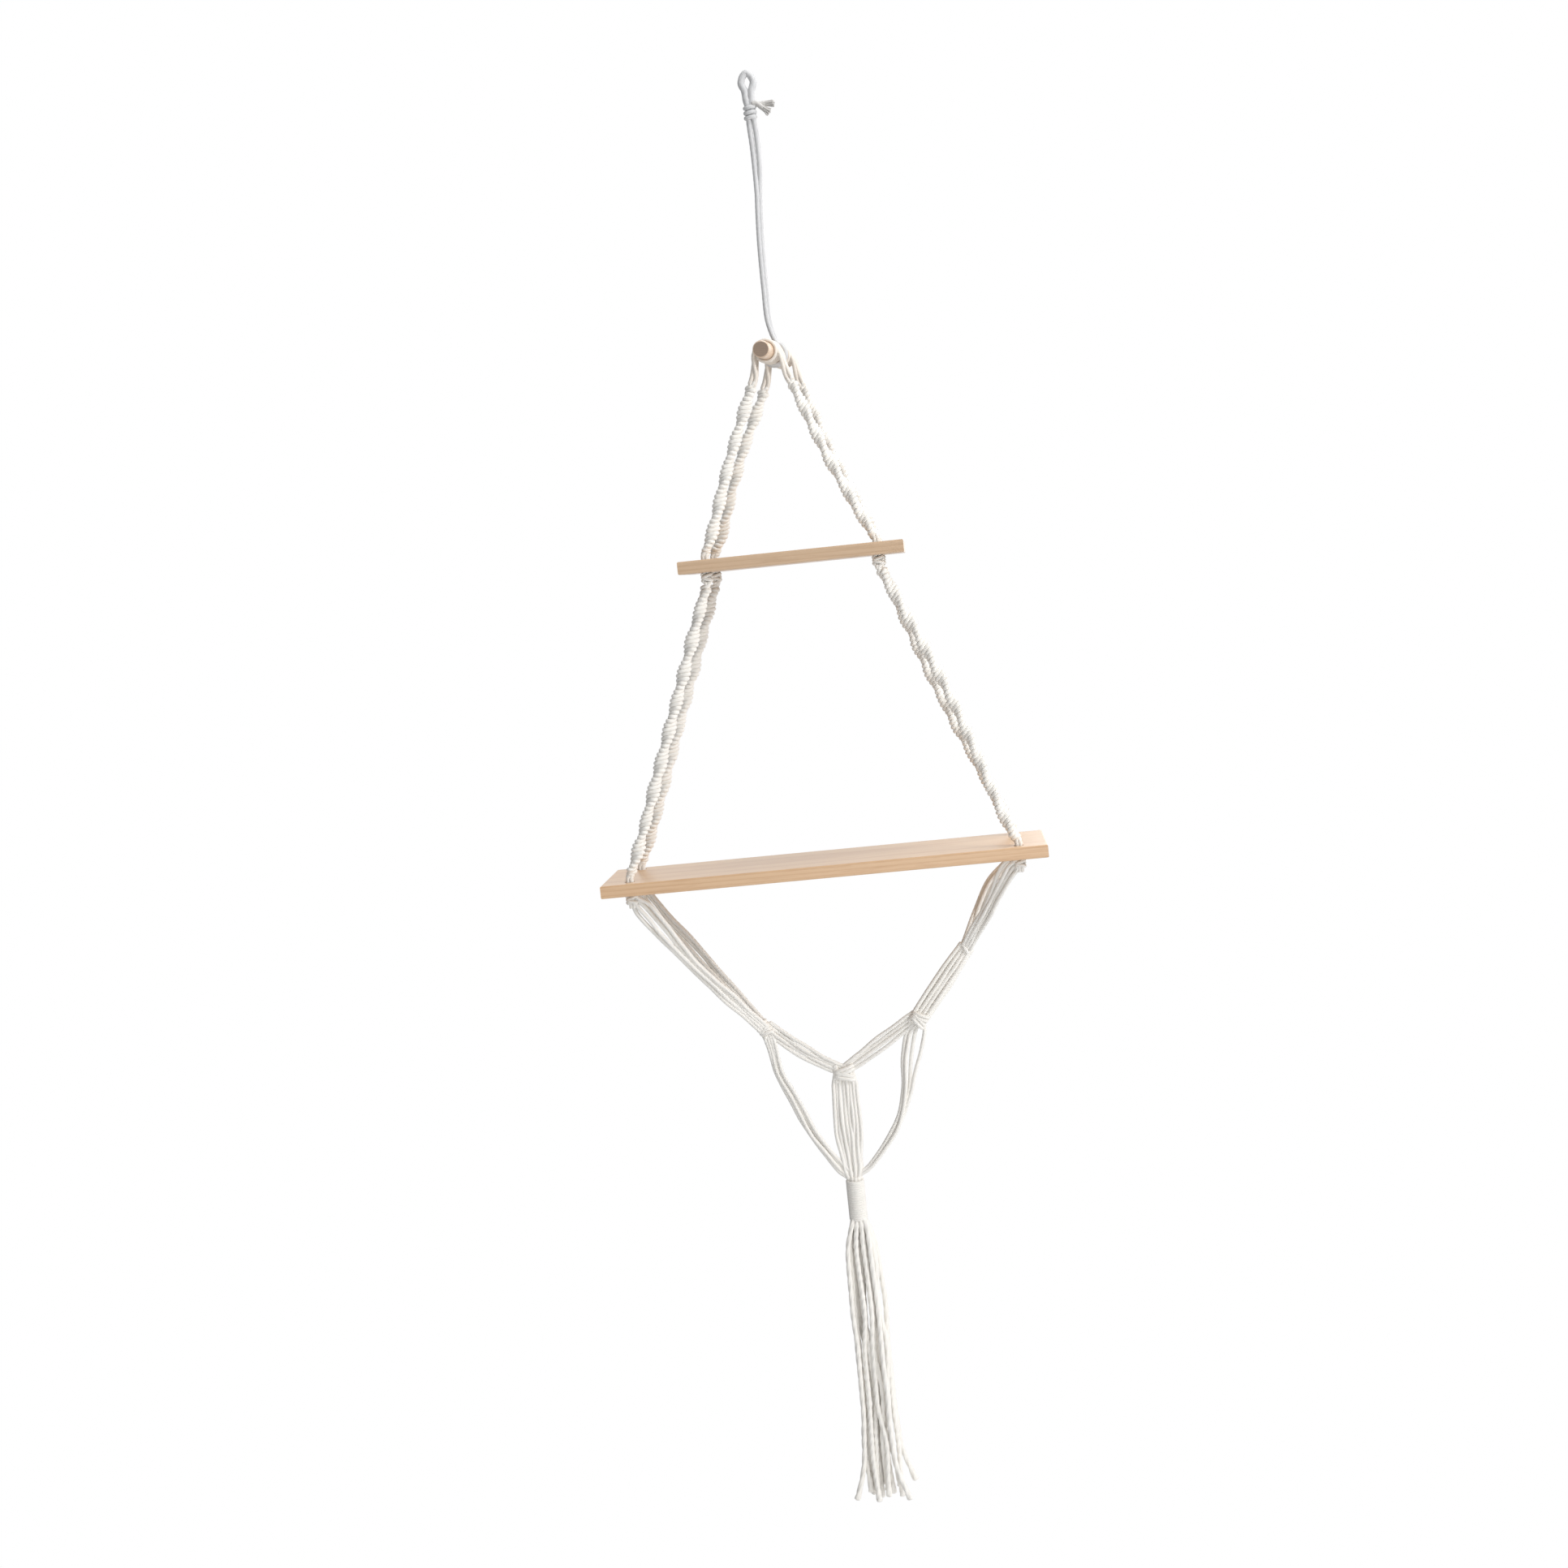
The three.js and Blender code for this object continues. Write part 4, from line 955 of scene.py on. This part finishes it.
def gathering_wrap():
    radius = NECK_RADIUS + SEAT_GAP + WRAP_CORD / 2
    turn = np.arange(0, WRAP_TURNS * WRAP_FINENESS * tau, WRAP_ANGLE_STEP)
    path = np.column_stack([
        WRAP_TOP[0] + radius * np.cos(turn), radius * np.sin(turn),
        WRAP_TOP[2] - WRAP_CORD / 2 - WRAP_PITCH * turn / (WRAP_FINENESS * tau)])
    mesh = CordMesh().add(path, WRAP_CORD)
    mesh.piece("wrap_cord", "tassel_top", "gathering_wrap")
    mesh = CordMesh()
    for ring, count in NECK_RINGS:
        for i in range(count):
            angle = tau * i / count
            out = at(ring * cos(angle), ring * sin(angle), 0)
            ends = WRAP_TOP + out + UP * NECK_OUT, WRAP_BOTTOM + out - UP * NECK_OUT
            mesh.add(np.linspace(*ends, 20), STRAND)
    mesh.piece("neck_strands", "tassel_top", "tassel_neck")


gathering_wrap()

# Hanging cord

LOOP_WIDTH = 0.0182
LOOP_CORD = 0.0068
LOOP_SHARES = ((0.55, 0.66), (1, 0.3), (0.72, 0.02))  # of half its width and of its drop
THROAT_WIDTH = 0.0054
KNOT_WIDTH = 0.013
KNOT_DEPTH = 0.011
KNOT_LENGTH = 0.024
KNOT_CENTRE = at(0, 0, -LOOP_DROP - KNOT_LENGTH / 2)
KNOT_BEND = -LOOP_DROP - KNOT_LENGTH + 0.0046  # height at which the legs bend under the knot
KNOT_TURNS = 3
KNOT_TURN_PITCH = 0.0046
KNOT_TURN_TOP = 0.0068  # from the knot's middle up to its first turn
KNOT_SLANT = 0.34
CUT_SHARE = 0.26  # of the knot's length over its middle, where its cut ends come out
CUT_ENDS = (((0.017, -0.001), 1), ((0.012, -0.01), -1))  # reach, rise, and behind or in front
GOLDEN = 0.618  # turn from one yarn of a cut end to the next
YARNS = 15
YARN = 0.0018
YARN_LAY = 0.006
LEG_SPREAD = 0.0052  # between the two legs under the knot
LEG_CORD = 0.005  # a leg just under the knot, where it is loosest
LEG_FLARE = ((0, 0.05), (HANGER_CORD / LEG_CORD, 1))  # how thick it is, from its lower end up
LEG_ASIDE = 0.0014
LEG_BOW = -0.0028  # how far the doubled cord bows to the left
# On the way down from the crossing: drop, and shares of the bow and of how far the legs are apart
LEG_PLACES = ((0.014, 0.35, 1), (0.045, 0.85, 1), (0.085, 1, 0.9), (0.118, 0.85, 0.6))
HITCH_FROM = radians(20)
HITCH_TO = radians(322)
HITCH_PLACES = 15
HITCH_RADIUS = DOWEL_RADIUS + SEAT_GAP + HANGER_CORD / 2
HITCH_PITCH = HANGER_CORD + TURN_GAP
CROSS_OUT = HITCH_PITCH / 2 * 0.5  # where the legs cross: from the middle, sideways and back
CROSS_BACK = HITCH_PITCH / 2 * 0.85


def hanging_loop():
    half = (LOOP_WIDTH - LOOP_CORD) / 2
    right = [at(out * half, 0, -down * LOOP_DROP) for out, down in LOOP_SHARES]
    right = [at(0.0015, 0, -LOOP_DROP - 0.007), at(THROAT_WIDTH / 2, 0, -LOOP_DROP), *right]
    left = [point * (-1, 1, 1) for point in right[::-1]]
    mesh = CordMesh().add([*right, at(0, 0, LOOP_CORD / 2), *left], LOOP_CORD)
    loop = mesh.piece("loop_cord", None, "hanging_loop", material=HANGER_SHADE_COTTON)
    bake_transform(loop)


def frayed_end(mesh, mouth, tip):
    """A cut end whose yarns have opened."""
    first, second = square_to(unit(tip - mouth)[None], UP)
    for i in range(YARNS):
        angle = tau * i * GOLDEN
        ring = sqrt((i + 0.5) / YARNS)
        out = (first[0] * cos(angle) + second[0] * sin(angle)) * ring
        far = tip + out * random.uniform(0.0028, 0.0042)
        far = far + (mouth - tip) * random.uniform(0, 0.15)
        mesh.add([mouth + out * 0.0018, mixed(mouth, tip, 0.55) + out * 0.0024, far], YARN,
                 lay=YARN_LAY)


def hanger_knot():
    mesh = CordMesh()
    for side in (-1, 1):
        mesh.add([at(side * 0.0025, 0, -LOOP_DROP + 0.002), at(side * 0.002, 0, KNOT_CENTRE[2]),
                  at(side * LEG_SPREAD / 2 * 0.8, 0, KNOT_BEND + 0.001)], HANGER_CORD)
    coil = np.arange(0, KNOT_TURNS * tau, 0.12)
    out = (KNOT_WIDTH - HANGER_CORD) / 2 * np.cos(coil)
    back = (KNOT_DEPTH - HANGER_CORD) / 2 * np.sin(coil)
    height = KNOT_CENTRE[2] + KNOT_TURN_TOP - coil / tau * KNOT_TURN_PITCH + KNOT_SLANT * out
    mesh.add(np.column_stack([out, back, height]), HANGER_CORD * 0.97)
    root = KNOT_CENTRE[2] + KNOT_LENGTH * CUT_SHARE
    tails = CordMesh()
    for (reach, rise), behind in CUT_ENDS:
        y = behind * HANGER_CORD / 2
        mouth = at(KNOT_WIDTH / 2, y, root)
        tip = mouth + at(reach, 0, rise)
        tails.add([at(0.003, y, root), mouth, mixed(mouth, tip, 0.45)], LEG_CORD)
        frayed_end(tails, mixed(mouth, tip, 0.3), tip)
    tails.piece("hanger_cut_ends", "knot", material=CUT_END_SHADE_COTTON)
    mesh.piece("hanger_knot_cords", "knot", "hanging_knot", material=HANGER_SHADE_COTTON)


def upper_leg(side):
    """From inside the knot to where the legs cross."""
    out = side * LEG_SPREAD / 2
    end = at(side * CROSS_OUT, side * CROSS_BACK, -LEGS_MEET)
    return [at(out * 0.8, 0, KNOT_BEND + 0.004), at(out + 0.0006, 0, KNOT_BEND - 0.006),
            at(out + LEG_ASIDE, 0, KNOT_BEND - 0.022),
            at(out * 0.9 + LEG_ASIDE, side * CROSS_BACK / 6, KNOT_BEND - 0.045), end,
            end - UP * 0.0004]


def lower_leg(side):
    """From where the legs cross down and round the dowel, to the middle of the hitch."""
    leg = [at(side * CROSS_OUT, side * CROSS_BACK, -LEGS_MEET)]
    leg += [at(side * CROSS_OUT * across + LEG_BOW * bow, side * CROSS_BACK, -LEGS_MEET - depth)
            for depth, bow, across in LEG_PLACES]
    return leg + [on_dowel(side * HITCH_PITCH / 2, HITCH_RADIUS, angle)
                  for angle in np.linspace(HITCH_FROM, HITCH_TO, HITCH_PLACES)]


def hanging_legs():
    mesh = CordMesh()
    for side in (-1, 1):
        mesh.add(upper_leg(side), LEG_CORD, flare=LEG_FLARE)
    piece = mesh.piece("leg_cords_upper", None, "hanging_legs_upper", material=HANGER_SHADE_COTTON)
    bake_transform(piece)
    mesh = CordMesh().add([*lower_leg(-1), *lower_leg(1)[::-1]], HANGER_CORD)
    piece = mesh.piece("leg_cords_lower", None, "hanging_legs_lower", material=HANGER_SHADE_COTTON)
    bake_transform(piece)


hanging_loop()
hanger_knot()
hanging_legs()

# Wood

def finish_wood(node, material, sharp):
    """Gives a CAD piece its material, and smooth shading between edges sharper than an angle."""
    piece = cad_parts[node]
    piece.data.materials.clear()
    piece.data.materials.append(material)
    piece.data.polygons.foreach_set("use_smooth", [True] * len(piece.data.polygons))
    split = piece.modifiers.new("crisp_edges", "EDGE_SPLIT")
    split.split_angle = radians(sharp)
    piece.modifiers.new("flat_faces", "WEIGHTED_NORMAL")


finish_wood("upper_board", UPPER_WOOD, 50)
finish_wood("lower_board", LOWER_WOOD, 50)
finish_wood("dowel", DOWEL_WOOD, 35)

# Studio

WHITE = (1, 1, 1, 1)
FLOOR_DROP = -2.0
FLOOR_HALF = 9
FLOOR_CLEAR = 1.25  # past this distance the floor is plain white to the eye
FLOOR_GREY = (0.9, 0.9, 0.9, 1)
ROOM_COLOUR = (0.95, 0.97, 1.0, 1)
ROOM_LEFT = 0.16  # strength of the room's light from the left
ROOM_RIGHT = 0.8  # and from the right
# Place, size and power of each lamp
LAMPS = (("key", (1.8, -1.05, 0.2), 0.9, 25), ("fill", (0.5, -1.9, -1.5), 1.6, 11),
         ("overhead", (0.3, -0.1, 1.3), 1.2, 18), ("back", (0.9, 1.9, -0.3), 1.4, 6))
LAMPS_AIM = (0, 0, -0.65)


def floor_material():
    """Pale matt, which keeps the shadow under the object and fades to white away from it."""
    n = Nodes(bpy.data.materials.new("pale_floor"))
    n.tree.nodes.remove(n.shader)
    flat = n.stretched(n.coordinates(), (1, 1, 0))
    away = n.add("VectorMath", {0: flat}, output="Value", operation="LENGTH")
    clear = n.add("MapRange", {
        "Value": away, "From Min": FLOOR_CLEAR * 0.4, "From Max": FLOOR_CLEAR, "To Min": 0.6})
    white = n.add("Emission", {"Color": WHITE, "Strength": 1.0})
    matt = n.add("BsdfDiffuse", {"Color": FLOOR_GREY})
    share = n.math("MULTIPLY", n.seen_directly(), clear)
    shown = n.add("MixShader", {0: share, 1: matt, 2: white})
    n.fill(n.tree.nodes["Material Output"], {"Surface": shown})
    return n.owner


def place_floor():
    mesh = bpy.data.meshes.new("floor")
    corners = [(x * FLOOR_HALF, y * FLOOR_HALF, 0) for x, y in ((-1, -1), (1, -1), (1, 1), (-1, 1))]
    mesh.from_pydata(corners, [], [range(4)])
    mesh.materials.append(floor_material())
    floor = placed("floor", mesh)
    floor.location = (0, 0, FLOOR_DROP)


def light_room():
    """White to the eye, and a softer light on the object, weaker from the left."""
    world = bpy.data.worlds.new("studio")
    n = Nodes(world)
    sideways = n.add("SeparateXYZ", {0: n.coordinates("Generated")})
    strength = n.add("MapRange", {
        "Value": sideways, "From Min": -1.0, "To Min": ROOM_LEFT, "To Max": ROOM_RIGHT})
    room = n.add("Background", {"Color": ROOM_COLOUR, "Strength": strength})
    white = n.add("Background", {"Color": WHITE, "Strength": 1.0})
    shown = n.add("MixShader", {0: n.seen_directly(), 1: room, 2: white})
    n.fill(n.tree.nodes["World Output"], {"Surface": shown})
    bpy.context.scene.world = world


def place_lamps():
    for name, place, size, power in LAMPS:
        data = bpy.data.lights.new(name, "AREA")
        data.size = size
        data.energy = power
        lamp = placed(name, data)
        lamp.location = place
        aim = Vector(LAMPS_AIM) - Vector(place)
        lamp.rotation_euler = aim.to_track_quat("-Z", "Y").to_euler()


place_floor()
light_room()
place_lamps()
bpy.context.scene.view_settings.view_transform = "Standard"
